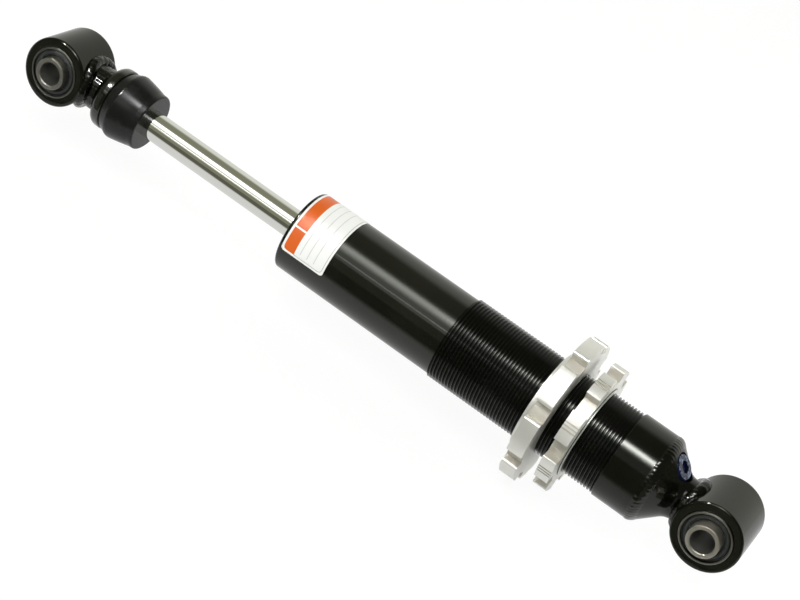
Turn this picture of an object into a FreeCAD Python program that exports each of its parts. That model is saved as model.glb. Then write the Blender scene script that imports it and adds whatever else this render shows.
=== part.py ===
import FreeCAD, Part
import math
import os

os.makedirs("parts", exist_ok=True)

# Gas shock absorber, single tube with a floating piston, shown fully extended. Millimetres.
# The origin is the centre of the upper eye. +X runs down the shock's axis to the lower eye, +Y along both
# eye bores, +Z is up. "Upper" is the eye on the rod, "lower" the eye on the damper tube.

# Overall sizes
EYE_TO_EYE = 335.0
ROD_DIAMETER = 12.5
EXPOSED_ROD = 81.5
TUBE_BORE = 30.0
BARREL_DIAMETER = 36.4
THREAD_DIAMETER = 38.0
THREAD_LENGTH = 81.8
THREAD_PITCH = 1.5
THREAD_ANGLE = 60.0
END_STEP = 0.5
END_LENGTH = 17.8

# Eyes and bushes
EYE_DIAMETER = 30.2
UPPER_EYE_LENGTH = 25.4
LOWER_EYE_LENGTH = 29.4
BUSH_DIAMETER = 22.4
BUSH_WALL = 0.9
LOWER_BUSH_PROUD = 0.6
SLEEVE_DIAMETER = 14.0
BOLT_BORE = 10.2
UPPER_SLEEVE_LENGTH = 31.0
LOWER_SLEEVE_LENGTH = 38.0
RUBBER_RECESS = 1.2
EYE_EDGE = 1.0
SLEEVE_EDGE = 0.5
WELD_LEG = 2.6
WELD_FLAT = 0.7

# Upper end: boss, retainer and bump stop
BOSS_DIAMETER = 19.8
BOSS_REACH = 21.6
BOSS_FLARE = 1.8
SPIGOT_DIAMETER = 10.0
RETAINER_DIAMETER = 28.6
RETAINER_DEPTH = 5.6
RETAINER_WALL = 1.8
RETAINER_BEND = 3.2
BUMP_SHOULDER = 27.4
BUMP_DIAMETER = 31.0
BUMP_END_DIAMETER = 26.2
BUMP_FLARE = 4.4
BUMP_TAPER = 13.4
BUMP_BULGE = 0.25
BUMP_EDGE = 1.0

# Damper tube and end cap
RIM_ROUND = 1.1
TUBE_WELD_WIDTH = 4.8
TUBE_WELD_DEPTH = 1.8
TUBE_WELD_CROWN = 0.85
SHOULDER_FALL = 2.1
CONE_LENGTH = 8.4
NECK_DIAMETER = 19.2
NECK_BLEND = 2.5
CAP_REACH = 29.2
CAP_SPIGOT = 4.4
CAP_RECESS_DIAMETER = 23.0
CAP_RECESS_DEPTH = 4.0
CAP_RECESS_TAPER = 4.0
CAP_RECESS_FLOOR = 8.0
FILL_CLOCK = 95.0
FILL_EDGE = 0.2
FILL_GAP = 0.3
FILL_HEAD_DIAMETER = 11.4
FILL_HEAD_HEIGHT = 1.8
FILL_SHANK_DIAMETER = 5.8
FILL_SHANK_LENGTH = 5.0
FILL_SOCKET = 5.0
FILL_SOCKET_DEPTH = 1.2
FILL_SEAL = 0.8
LABEL_START = 1.6
LABEL_HEIGHT = 21.2
LABEL_THICKNESS = 0.12
LABEL_CLOCK = 14.0
LABEL_SWEEP = 173.0

# Ring nuts on the thread
NOTCHES = 8
SEAT_DIAMETER = 66.0
SEAT_THICKNESS = 7.1
SEAT_HUB_DIAMETER = 44.0
SEAT_HUB_LENGTH = 2.9
SEAT_NOTCH_DEPTH = 3.9
SEAT_NOTCH_SWEEP = 13.0
SEAT_NOTCH_CLOCK = 23.9
SEAT_EDGE = 0.7
SEAT_LIP = 1.2
LOCK_DIAMETER = 58.0
LOCK_THICKNESS = 6.2
LOCK_COLLAR_DIAMETER = 42.0
LOCK_COLLAR_LENGTH = 0.7
LOCK_NOTCH_DEPTH = 4.7
LOCK_NOTCH_SWEEP = 17.5
LOCK_NOTCH_CLOCK = 43.4
LOCK_EDGE = 0.5
LOCK_LIP = 0.5
LOCK_GROOVES = 3
LOCK_GROOVE_PITCH = 2.9
LOCK_GROOVE_SWEEP = 1.3
LOCK_GROOVE_DEPTH = 0.5
NUT_CHAMFER = 0.8
RING_GAP = 6.4
LOCK_TO_THREAD_END = 14.8

# Seal head stack in the tube's mouth
CAP_DROP = 0.8
DUST_CAP_THICKNESS = 2.2
DUST_CAP_COLLAR = 19.0
CIRCLIP_WIDTH = 1.4
CIRCLIP_INNER_DIAMETER = 27.6
CIRCLIP_GROOVE_DEPTH = 1.0
CIRCLIP_SWEEP = 325.0
SEAL_HEAD_LENGTH = 21.0
WIPER_DIAMETER = 19.2
WIPER_DEPTH = 4.5
OIL_SEAL_DIAMETER = 20.4
OIL_SEAL_DEPTH = 5.0
GUIDE_BUSH_WALL = 1.0
GUIDE_BUSH_LENGTH = 10.0
GUIDE_ENTRY = 13.4
O_RING_SECTION = 2.4
O_RING_SQUEEZE = 0.1

# Piston stack on the rod's lower end
TOP_OUT_GAP = 0.4
BUMPER_DIAMETER = 19.0
BUMPER_LENGTH = 4.6
STOP_WASHER_DIAMETER = 22.0
STOP_WASHER_THICKNESS = 2.0
PISTON_DIAMETER = 28.8
PISTON_LENGTH = 12.0
PISTON_SPIGOT = 8.0
BAND_WIDTH = 8.0
BAND_THICKNESS = 1.7
PORTS = 6
COMPRESSION_PORT = 3.0
COMPRESSION_PITCH = 23.2
REBOUND_PORT = 2.6
REBOUND_PITCH = 15.6
FEED_SLOT_WIDTH = 2.2
FEED_SLOT_DEPTH = 1.0
SHIM_THICKNESS = 0.3
COMPRESSION_SHIM_DIAMETERS = (13.0, 17.0, 21.0, 26.4)
REBOUND_SHIM_DIAMETERS = (19.4, 17.0, 15.0, 13.0)
NUT_ACROSS_FLATS = 13.0
NUT_HEIGHT = 6.5
SPIGOT_TAIL = 1.6

# Floating piston and gas chamber
GAS_LENGTH = 31.0
FLOATING_LENGTH = 14.0
FLOATING_RECESS_DIAMETER = 22.0
FLOATING_RECESS_DEPTH = 8.0

# Clearances, all on the radius unless named otherwise
RUNNING = 0.05
SEATED = 0.02
THREAD_CLEARANCE = 0.1
PASSING = 0.4
SHOULDER_GAP = 0.1
OVERCUT = 1.0

# Radii
rod_r = ROD_DIAMETER / 2
bore_r = TUBE_BORE / 2
barrel_r = BARREL_DIAMETER / 2
thread_r = THREAD_DIAMETER / 2
thread_flank = THREAD_PITCH * 5 / 16
root_r = thread_r - thread_flank / math.tan(math.radians(THREAD_ANGLE / 2))
end_r = thread_r + END_STEP
cone_r = end_r - SHOULDER_FALL
eye_r = EYE_DIAMETER / 2
bush_r = BUSH_DIAMETER / 2
sleeve_r = SLEEVE_DIAMETER / 2
boss_r = BOSS_DIAMETER / 2
neck_r = NECK_DIAMETER / 2
spigot_r = SPIGOT_DIAMETER / 2
piston_r = PISTON_DIAMETER / 2
piston_spigot_r = PISTON_SPIGOT / 2
sliding_r = bore_r - RUNNING
o_ring_r = O_RING_SECTION / 2
nut_bore_r = thread_r + THREAD_CLEARANCE

# Places along the axis, from the upper eye down
rod_shoulder = BOSS_REACH + RETAINER_WALL
retainer_rim = BOSS_REACH + RETAINER_DEPTH
bump_end = retainer_rim + BUMP_FLARE + BUMP_TAPER
tube_top = bump_end + EXPOSED_ROD
tube_end = EYE_TO_EYE - CAP_REACH
end_start = tube_end - END_LENGTH
thread_start = end_start - THREAD_LENGTH
lock_end = end_start - LOCK_TO_THREAD_END
lock_start = lock_end - LOCK_THICKNESS - LOCK_COLLAR_LENGTH
seat_end = lock_start - RING_GAP
seat_flange = seat_end - SEAT_THICKNESS
seat_start = seat_flange - SEAT_HUB_LENGTH
dust_cap_start = tube_top + CAP_DROP
circlip_start = dust_cap_start + DUST_CAP_THICKNESS + SHOULDER_GAP
head_start = circlip_start + CIRCLIP_WIDTH
head_end = head_start + SEAL_HEAD_LENGTH
bush_end = head_end - OIL_SEAL_DEPTH
bush_start = bush_end - GUIDE_BUSH_LENGTH
bumper_start = head_end + TOP_OUT_GAP
stop_start = bumper_start + BUMPER_LENGTH
compression_start = stop_start + STOP_WASHER_THICKNESS
piston_start = compression_start + SHIM_THICKNESS * len(COMPRESSION_SHIM_DIAMETERS)
piston_end = piston_start + PISTON_LENGTH
nut_start = piston_end + SHIM_THICKNESS * len(REBOUND_SHIM_DIAMETERS)
rod_end = nut_start + NUT_HEIGHT + SPIGOT_TAIL
cap_face = tube_end - CAP_SPIGOT
floating_end = cap_face - GAS_LENGTH
floating_start = floating_end - FLOATING_LENGTH
cone_start = tube_end + TUBE_WELD_WIDTH / 2
cone_end = cone_start + CONE_LENGTH

ORIGIN = FreeCAD.Vector(0, 0, 0)
ALONG = FreeCAD.Vector(1, 0, 0)
ACROSS = FreeCAD.Vector(0, 1, 0)
UP = FreeCAD.Vector(0, 0, 1)
FAR = 2 * EYE_TO_EYE


def turned(*steps, sweep=360.0):
    """Solid turned about the axis from +Y towards +Z. A step is (x, r), or (x, r, x, r) for an arc."""
    points = [[FreeCAD.Vector(*step[i:i + 2], 0) for i in range(0, len(step), 2)] for step in steps]
    first = points[0][-1]
    edges = []
    here = first
    for step in points[1:] + [[first]]:
        if len(step) == 2:
            edges.append(Part.Arc(here, step[0], step[1]).toShape())
        elif not here.isEqual(step[0], 1e-6):
            edges.append(Part.LineSegment(here, step[0]).toShape())
        here = step[-1]
    solid = Part.Face(Part.Wire(edges)).revolve(ORIGIN, ALONG, sweep)
    return solid if solid.Volume > 0 else solid.reversed()


def rounded(before, corner, after, reach):
    """Profile steps that round a corner with an arc, from a reach short of it to a reach past it."""
    vertex, back, onward = (FreeCAD.Vector(*point, 0) for point in (corner, before, after))
    back = (back - vertex).normalize()
    onward = (onward - vertex).normalize()
    half = back.getAngle(onward) / 2
    start = vertex + back * reach
    middle = vertex + (back + onward).normalize() * reach * (1 / math.cos(half) - math.tan(half))
    end = vertex + onward * reach
    return (start.x, start.y), (middle.x, middle.y, end.x, end.y)


def ring(start, end, inner, outer, sweep=360.0):
    """Plain ring about the shock's axis, or a sector of one."""
    return turned((start, inner), (end, inner), (end, outer), (start, outer), sweep=sweep)


def polar(radius, angle, x=0.0):
    """Point at a radius and an angle about the shock's axis, from +Y towards +Z."""
    turn = math.radians(angle)
    return FreeCAD.Vector(x, radius * math.cos(turn), radius * math.sin(turn))


def clocked(shape, angle):
    """Copy of a shape turned about the shock's axis."""
    copy = shape.copy()
    copy.rotate(ORIGIN, ALONG, angle)
    return copy


def around(shape, count, first=0.0):
    """Copies of a shape spaced evenly about the shock's axis."""
    return [clocked(shape, first + 360.0 * i / count) for i in range(count)]


def along_bore(shape, x):
    """Shape that was turned about X = 0, laid along the eye bore at x."""
    shape.rotate(ORIGIN, UP, 90)
    shape.translate(ALONG * x)
    return shape


def cross_cylinder(radius, x):
    """Long cylinder along an eye bore, which trims what is welded onto that eye."""
    return Part.makeCylinder(radius, FAR, FreeCAD.Vector(x, -FAR / 2, 0), ACROSS)


def hexagon(across_flats, start, height):
    """Six-sided prism about the shock's axis."""
    corners = [polar(across_flats / math.sqrt(3), 60 * i, start) for i in range(7)]
    return Part.Face(Part.makePolygon(corners)).extrude(ALONG * height)


def o_ring(x, outer):
    """O-ring about the shock's axis with its outside at the given radius."""
    return Part.makeTorus(outer - o_ring_r, o_ring_r, ALONG * x, ALONG)


def o_ring_groove(x, outer):
    """Cutter for the groove that holds an O-ring."""
    floor = outer - O_RING_SECTION - O_RING_SQUEEZE
    half = o_ring_r + O_RING_SQUEEZE
    return ring(x - half, x + half, floor, bore_r + OVERCUT)


def eye_tube(x, length):
    """Welded-on eye with its outer edges rounded, at x."""
    half = length / 2
    near, far, corner, other = (-half, bush_r), (half, bush_r), (half, eye_r), (-half, eye_r)
    tube = turned(near, far, *rounded(far, corner, other, EYE_EDGE), *rounded(corner, other, near, EYE_EDGE))
    return along_bore(tube, x)


def bush_outer_sleeve(x, length):
    """Thin steel sleeve pressed into an eye."""
    half = length / 2
    return along_bore(ring(-half, half, bush_r - BUSH_WALL, bush_r), x)


def bush_rubber(x, length):
    """Rubber between the two sleeves of a bush, with dished ends."""
    half = length / 2
    inner = sleeve_r + RUNNING
    outer = bush_r - BUSH_WALL
    middle = (inner + outer) / 2
    dish = half - RUBBER_RECESS
    rubber = turned((-half, inner), (half, inner), (dish, middle, half, outer), (-half, outer),
                    (-dish, middle, -half, inner))
    return along_bore(rubber, x)


def bush_inner_sleeve(x, length):
    """Sleeve that the mounting bolt clamps, with its edges broken."""
    half = length / 2
    flat = sleeve_r - SLEEVE_EDGE
    bolt_r = BOLT_BORE / 2
    sleeve = turned((-half, bolt_r), (half, bolt_r), (half, flat), (half - SLEEVE_EDGE, sleeve_r),
                    (SLEEVE_EDGE - half, sleeve_r), (-half, flat))
    return along_bore(sleeve, x)


def on_crest(edge, eye_x):
    """Distance of an edge's middle from the shock's axis, or zero unless it is a weld leg off the eye too."""
    middle = edge.valueAt((edge.FirstParameter + edge.LastParameter) / 2)
    off_eye = math.hypot(middle.x - eye_x, middle.z) - eye_r
    return math.hypot(middle.y, middle.z) if math.isclose(off_eye, WELD_LEG, abs_tol=1e-3) else 0.0


def eye_weld(eye_x, stem_r, start, end):
    """Bead in the corner between an eye and the round stem that meets it."""
    stem_side = ring(start, end, stem_r, stem_r + WELD_LEG)
    bead = stem_side.common(cross_cylinder(eye_r + WELD_LEG, eye_x)).cut(cross_cylinder(eye_r, eye_x))
    outer = stem_r + WELD_LEG
    crest = [edge for edge in bead.Edges if math.isclose(on_crest(edge, eye_x), outer, abs_tol=1e-3)]
    return bead.makeChamfer(WELD_LEG * WELD_FLAT, crest)


def upper_eye_boss():
    """Round boss between the upper eye and the retainer, which flares into the weld at the retainer."""
    boss = turned((0, spigot_r), (BOSS_REACH, spigot_r), (BOSS_REACH, boss_r + BOSS_FLARE),
                  (BOSS_REACH - BOSS_FLARE, boss_r), (0, boss_r))
    return boss.cut(cross_cylinder(eye_r, 0))


def bump_stop_retainer():
    """Dished washer that backs the bump stop."""
    outer = RETAINER_DIAMETER / 2
    inside = outer - RETAINER_WALL
    hole, rim = (BOSS_REACH, spigot_r), (retainer_rim, outer)
    inner_rim, inner_hole = (retainer_rim, inside), (rod_shoulder, spigot_r)
    inner_bend = RETAINER_BEND - RETAINER_WALL
    return turned(hole, *rounded(hole, (BOSS_REACH, outer), rim, RETAINER_BEND), rim, inner_rim,
                  *rounded(inner_rim, (rod_shoulder, inside), inner_hole, inner_bend), inner_hole)


def bump_stop():
    """Tapered rubber stop, with a nose that sits in the retainer."""
    wide_x = retainer_rim + BUMP_FLARE
    wide_r = BUMP_DIAMETER / 2
    tip_x = bump_end - BUMP_EDGE
    tip_r = BUMP_END_DIAMETER / 2
    nose_r = RETAINER_DIAMETER / 2 - 2 * RETAINER_WALL
    bulge = ((wide_x + tip_x) / 2, (wide_r + tip_r) / 2 + BUMP_BULGE)
    tip, face = (tip_x, tip_r), (bump_end, rod_r)
    return turned((rod_shoulder, rod_r), (rod_shoulder, nose_r), (retainer_rim, nose_r),
                  (retainer_rim, BUMP_SHOULDER / 2), (wide_x, wide_r), (*bulge, *tip),
                  *rounded(tip, (bump_end, tip_r), face, BUMP_EDGE), face)


def rod():
    """Chromed rod with a spigot at each end, shouldered for the retainer and the piston stack."""
    shaft = turned((0, 0), (0, spigot_r), (rod_shoulder, spigot_r), (rod_shoulder, rod_r),
                   (stop_start, rod_r), (stop_start, piston_spigot_r),
                   (rod_end, piston_spigot_r), (rod_end, 0))
    return shaft.cut(cross_cylinder(eye_r, 0))


def thread_rings():
    """Profile steps of the threaded length: rings of the thread's form, one to each pitch."""
    steps = []
    for i in range(int(THREAD_LENGTH / THREAD_PITCH)):
        x = thread_start + i * THREAD_PITCH
        crest = x + thread_flank
        crest_end = crest + THREAD_PITCH / 8
        steps += [(crest, thread_r), (crest_end, thread_r), (crest_end + thread_flank, root_r),
                  (x + THREAD_PITCH, root_r)]
    return steps


def damper_tube():
    """Damper tube: plain barrel, thread drawn as rings, plain end and circlip groove."""
    mouth = (tube_top, bore_r)
    barrel_end = (thread_start, barrel_r)
    groove_start = circlip_start - SHOULDER_GAP
    groove_end = circlip_start + CIRCLIP_WIDTH
    groove_r = bore_r + CIRCLIP_GROOVE_DEPTH
    return turned(mouth, *rounded(mouth, (tube_top, barrel_r), barrel_end, RIM_ROUND), barrel_end,
                  *thread_rings(), (end_start, root_r), (end_start, end_r),
                  (tube_end - TUBE_WELD_WIDTH / 2, end_r), (tube_end, end_r - TUBE_WELD_DEPTH),
                  (tube_end, bore_r), (groove_end, bore_r), (groove_end, groove_r),
                  (groove_start, groove_r), (groove_start, bore_r))


def end_cap_weld():
    """Bead that fills the groove between tube and end cap and rounds the shoulder."""
    crown = (end_r + cone_r) / 2 + TUBE_WELD_CROWN
    return turned((tube_end - TUBE_WELD_WIDTH / 2, end_r), (tube_end, crown, cone_start, cone_r),
                  (tube_end, end_r - TUBE_WELD_DEPTH))


def on_cone(shape):
    """Shape whose outside face is X = 0, set square on the end cap's cone at the fill screw's place."""
    drop = cone_r - neck_r
    place = (FILL_EDGE + FILL_GAP + FILL_HEAD_DIAMETER / 2) / math.hypot(CONE_LENGTH, drop)
    shape.rotate(ORIGIN, UP, math.degrees(math.atan2(CONE_LENGTH, drop)))
    shape.translate(FreeCAD.Vector(cone_start + CONE_LENGTH * place, cone_r - drop * place, 0))
    shape.rotate(ORIGIN, ALONG, FILL_CLOCK)
    return shape


fill_depth = FILL_HEAD_HEIGHT + FILL_SEAL


def gas_fill_screw():
    """Screw that closes the gas chamber, with a hexagon socket."""
    head_r = FILL_HEAD_DIAMETER / 2
    shank_r = FILL_SHANK_DIAMETER / 2
    round_r = FILL_HEAD_HEIGHT / 2
    screw = turned((-fill_depth - FILL_SHANK_LENGTH, 0), (-fill_depth - FILL_SHANK_LENGTH, shank_r),
                   (-FILL_HEAD_HEIGHT, shank_r), (-FILL_HEAD_HEIGHT, head_r), (-round_r, head_r),
                   (0, head_r - round_r), (0, 0))
    return on_cone(screw.cut(hexagon(FILL_SOCKET, -FILL_SOCKET_DEPTH, FILL_SOCKET_DEPTH + OVERCUT)))


def gas_fill_seal():
    """Sealing washer under the fill screw's head."""
    shank_r = FILL_SHANK_DIAMETER / 2 + SEATED
    return on_cone(ring(-fill_depth, -FILL_HEAD_HEIGHT, shank_r, FILL_HEAD_DIAMETER / 2))


def end_cap():
    """Conical end cap: spigot in the tube, gas recess, fill hole and a neck that meets the eye."""
    recess_r = CAP_RECESS_DIAMETER / 2
    recess_end = cap_face + CAP_RECESS_DEPTH
    floor_r = CAP_RECESS_FLOOR / 2
    floor_x = recess_end + CAP_RECESS_TAPER
    spigot = bore_r - SEATED
    stem, shoulder = (EYE_TO_EYE, neck_r), (cone_start, cone_r)
    body = turned((cap_face, recess_r), (recess_end, recess_r), (floor_x, floor_r), (floor_x, 0),
                  (EYE_TO_EYE, 0), stem, *rounded(stem, (cone_end, neck_r), shoulder, NECK_BLEND), shoulder,
                  (tube_end, end_r - TUBE_WELD_DEPTH), (tube_end, spigot), (cap_face, spigot))
    head_hole = ring(-fill_depth, CONE_LENGTH, 0, FILL_HEAD_DIAMETER / 2 + FILL_GAP)
    shank_hole = ring(-2 * CONE_LENGTH, 0, 0, FILL_SHANK_DIAMETER / 2 + SEATED)
    body = body.cut(on_cone(head_hole)).cut(on_cone(shank_hole.common(ring(-recess_r, 0, 0, recess_r))))
    return body.cut(cross_cylinder(eye_r, EYE_TO_EYE))


def barrel_label():
    """Label stuck round the top of the barrel."""
    start = tube_top + LABEL_START
    label = ring(start, start + LABEL_HEIGHT, barrel_r, barrel_r + LABEL_THICKNESS, LABEL_SWEEP)
    return clocked(label, LABEL_CLOCK)


def lip_arc(rim, edge, side, lip):
    """Three points of the rounded lip between a nut's rim and a notch wall at an edge angle, rim first."""
    centre_angle = edge - side * math.degrees(lip / rim)
    outward = polar(1, centre_angle)
    towards_notch = polar(1, centre_angle + 90 * side)
    middle = outward * (rim - lip) + (outward + towards_notch) * lip * math.sqrt(0.5)
    return polar(rim, centre_angle), middle, polar(rim - lip, edge)


def notched(blank, rim, floor, sweep, clock, lip):
    """Ring nut cut from its turned blank by an outline of lobes and notches with rounded lips."""
    edges = []
    pitch = 360.0 / NOTCHES
    for i in range(NOTCHES):
        middle = clock + i * pitch
        here, there = middle - sweep / 2, middle + sweep / 2
        lead_in = lip_arc(rim, here, 1, lip)
        lead_out = lip_arc(rim, there, -1, lip)[::-1]
        lobe_end = lip_arc(rim, here + pitch, 1, lip)[0]
        bottom = polar(floor, here), polar(floor, middle), polar(floor, there)
        edges += [Part.Arc(*lead_in), Part.LineSegment(lead_in[2], bottom[0]), Part.Arc(*bottom),
                  Part.LineSegment(bottom[2], lead_out[0]), Part.Arc(*lead_out),
                  Part.Arc(lead_out[2], polar(rim, middle + pitch / 2), lobe_end)]
    outline = Part.Face(Part.Wire([edge.toShape() for edge in edges]))
    return blank.common(outline.extrude(ALONG * EYE_TO_EYE))


def spring_seat_nut():
    """Ring nut that carries the coil spring on its upper face, centred by its hub."""
    rim = SEAT_DIAMETER / 2
    hub = SEAT_HUB_DIAMETER / 2
    mouth = nut_bore_r + NUT_CHAMFER
    blank = turned((seat_start + NUT_CHAMFER, nut_bore_r), (seat_start, mouth), (seat_start, hub - SEAT_EDGE),
                   (seat_start + SEAT_EDGE, hub), (seat_flange, hub), (seat_flange, rim - SEAT_EDGE),
                   (seat_flange + SEAT_EDGE, rim), (seat_end - SEAT_EDGE, rim), (seat_end, rim - SEAT_EDGE),
                   (seat_end, mouth), (seat_end - NUT_CHAMFER, nut_bore_r))
    return notched(blank, rim, rim - SEAT_NOTCH_DEPTH, SEAT_NOTCH_SWEEP, SEAT_NOTCH_CLOCK, SEAT_LIP)


def lock_ring():
    """Ring nut that locks the spring seat from below, with grip grooves and a low collar underneath."""
    rim = LOCK_DIAMETER / 2
    collar = LOCK_COLLAR_DIAMETER / 2
    face = lock_end - LOCK_COLLAR_LENGTH
    mouth = nut_bore_r + NUT_CHAMFER
    blank = turned((lock_start + NUT_CHAMFER, nut_bore_r), (lock_start, mouth), (lock_start, rim - LOCK_EDGE),
                   (lock_start + LOCK_EDGE, rim), (face - LOCK_EDGE, rim), (face, rim - LOCK_EDGE),
                   (face, collar), (lock_end, collar), (lock_end, mouth),
                   (lock_end - NUT_CHAMFER, nut_bore_r))
    nut = notched(blank, rim, rim - LOCK_NOTCH_DEPTH, LOCK_NOTCH_SWEEP, LOCK_NOTCH_CLOCK, LOCK_LIP)
    groove = ring(lock_start, lock_end, rim - LOCK_GROOVE_DEPTH, rim + OVERCUT, LOCK_GROOVE_SWEEP)
    lobe = LOCK_NOTCH_CLOCK + 180.0 / NOTCHES
    for i in range(LOCK_GROOVES):
        first = lobe + (i - (LOCK_GROOVES - 1) / 2) * LOCK_GROOVE_PITCH - LOCK_GROOVE_SWEEP / 2
        for cutter in around(groove, NOTCHES, first):
            nut = nut.cut(cutter)
    return nut


def dust_cap():
    """Cap in the tube's mouth, with a raised collar round the rod."""
    end = dust_cap_start + DUST_CAP_THICKNESS
    collar_r = DUST_CAP_COLLAR / 2
    lip = dust_cap_start - CAP_DROP
    hole = rod_r + PASSING
    outer = bore_r - SEATED
    return turned((lip, hole), (lip, collar_r - CAP_DROP), (dust_cap_start, collar_r),
                  (dust_cap_start, outer), (end, outer), (end, hole))


def seal_head_circlip():
    """Open spring ring in the tube's groove that holds the seal head in."""
    outer = bore_r + CIRCLIP_GROOVE_DEPTH - SHOULDER_GAP
    clip = ring(circlip_start, head_start, CIRCLIP_INNER_DIAMETER / 2, outer, CIRCLIP_SWEEP)
    return clocked(clip, (360 - CIRCLIP_SWEEP) / 2)


def seal_head():
    """Aluminium head that guides and seals the rod, stepped inside for wiper, bush and oil seal."""
    wiper_r = WIPER_DIAMETER / 2
    wiper_end = head_start + WIPER_DEPTH
    bush_outer = rod_r + RUNNING + GUIDE_BUSH_WALL
    entry = GUIDE_ENTRY / 2
    head = turned((head_start, wiper_r), (wiper_end, wiper_r), (wiper_end, entry), (bush_start, entry),
                  (bush_start, bush_outer), (bush_end, bush_outer), (bush_end, OIL_SEAL_DIAMETER / 2),
                  (head_end, OIL_SEAL_DIAMETER / 2), (head_end, bore_r - SEATED),
                  (head_start, bore_r - SEATED))
    return head.cut(o_ring_groove(head_o_ring_x, bore_r - SEATED))


head_o_ring_x = (bush_start + bush_end) / 2


def seal_head_o_ring():
    """O-ring between the seal head and the tube."""
    return o_ring(head_o_ring_x, bore_r - SEATED)


def rod_guide_bush():
    """Plain bush that the rod slides in."""
    inner = rod_r + RUNNING
    return ring(bush_start, bush_end, inner, inner + GUIDE_BUSH_WALL)


def rod_oil_seal():
    """Lip seal that keeps the oil in, hollow on its oil side."""
    inner = rod_r + RUNNING
    outer = OIL_SEAL_DIAMETER / 2
    middle = (inner + outer) / 2
    lip = (outer - inner) / 4
    back = bush_end + OIL_SEAL_DEPTH / 2
    return turned((bush_end, inner + lip), (bush_end, outer), (head_end, outer), (head_end, middle + lip),
                  (back, middle + lip), (back, middle - lip), (head_end, middle - lip), (head_end, inner))


def rod_dust_wiper():
    """Scraper ring that keeps dirt off the rod, with its lip towards the bump stop."""
    inner = rod_r + RUNNING
    outer = WIPER_DIAMETER / 2
    end = head_start + WIPER_DEPTH
    middle = (inner + outer) / 2
    return turned((head_start, inner), (head_start, (inner + middle) / 2), (end - WIPER_DEPTH / 2, middle),
                  (head_start, middle), (head_start, outer), (end, outer), (end, middle))


def top_out_bumper():
    """Rubber ring that stops the piston softly under the seal head."""
    crown = BUMPER_LENGTH / 4
    outer = BUMPER_DIAMETER / 2
    return turned((bumper_start, rod_r), (bumper_start, outer - crown), (bumper_start + crown, outer),
                  (stop_start, outer), (stop_start, rod_r))


def piston_stop_washer():
    """Washer between the rod's shoulder and the compression shims."""
    return ring(stop_start, compression_start, piston_spigot_r, STOP_WASHER_DIAMETER / 2)


def shims(start, diameters):
    """Stack of flat valve discs, one solid each."""
    stack = []
    for i, diameter in enumerate(diameters):
        x = start + i * SHIM_THICKNESS
        stack.append(ring(x, x + SHIM_THICKNESS, piston_spigot_r, diameter / 2))
    return Part.makeCompound(stack)


band_start = (piston_start + piston_end - BAND_WIDTH) / 2
band_inner = bore_r - RUNNING - BAND_THICKNESS


def piston():
    """Valved piston: outer ports open on compression, inner ports, fed by slots, open on rebound."""
    body = ring(piston_start, piston_end, piston_spigot_r, piston_r)
    band_end = band_start + BAND_WIDTH + SHOULDER_GAP
    body = body.cut(ring(band_start - SHOULDER_GAP, band_end, band_inner - RUNNING, bore_r))
    inner_pitch = REBOUND_PITCH / 2
    feed_end = piston_start + FEED_SLOT_DEPTH
    above = piston_start - OVERCUT
    port_r = REBOUND_PORT / 2
    body = body.cut(ring(above, feed_end, inner_pitch - port_r, inner_pitch + port_r))
    slot = Part.makeBox(feed_end - above, piston_r, FEED_SLOT_WIDTH,
                        FreeCAD.Vector(above, inner_pitch, -FEED_SLOT_WIDTH / 2))
    through = PISTON_LENGTH + 2 * OVERCUT
    outer_place = polar(COMPRESSION_PITCH / 2, 0, above)
    outer_port = Part.makeCylinder(COMPRESSION_PORT / 2, through, outer_place, ALONG)
    inner_port = Part.makeCylinder(port_r, through, polar(inner_pitch, 0, above), ALONG)
    half_pitch = 180.0 / PORTS
    for cutter in around(outer_port, PORTS) + around(inner_port, PORTS) + around(slot, PORTS, half_pitch):
        body = body.cut(cutter)
    return body


def piston_band():
    """Slippery band that runs on the tube's bore."""
    return ring(band_start, band_start + BAND_WIDTH, band_inner, sliding_r)


def piston_nut():
    """Nut that clamps the piston stack."""
    nut = hexagon(NUT_ACROSS_FLATS, nut_start, NUT_HEIGHT)
    return nut.cut(ring(nut_start, nut_start + NUT_HEIGHT, 0, piston_spigot_r))


def floating_piston():
    """Cup that parts the oil from the gas, open towards the gas."""
    recess = FLOATING_RECESS_DIAMETER / 2
    floor = floating_end - FLOATING_RECESS_DEPTH
    cup = turned((floating_start, 0), (floating_start, sliding_r), (floating_end, sliding_r),
                 (floating_end, recess), (floor, recess), (floor, 0))
    return cup.cut(o_ring_groove(floating_o_ring_x, sliding_r))


floating_o_ring_x = (floating_start + floating_end - FLOATING_RECESS_DEPTH) / 2


def floating_piston_o_ring():
    """O-ring between the floating piston and the tube."""
    return o_ring(floating_o_ring_x, sliding_r)


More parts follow.
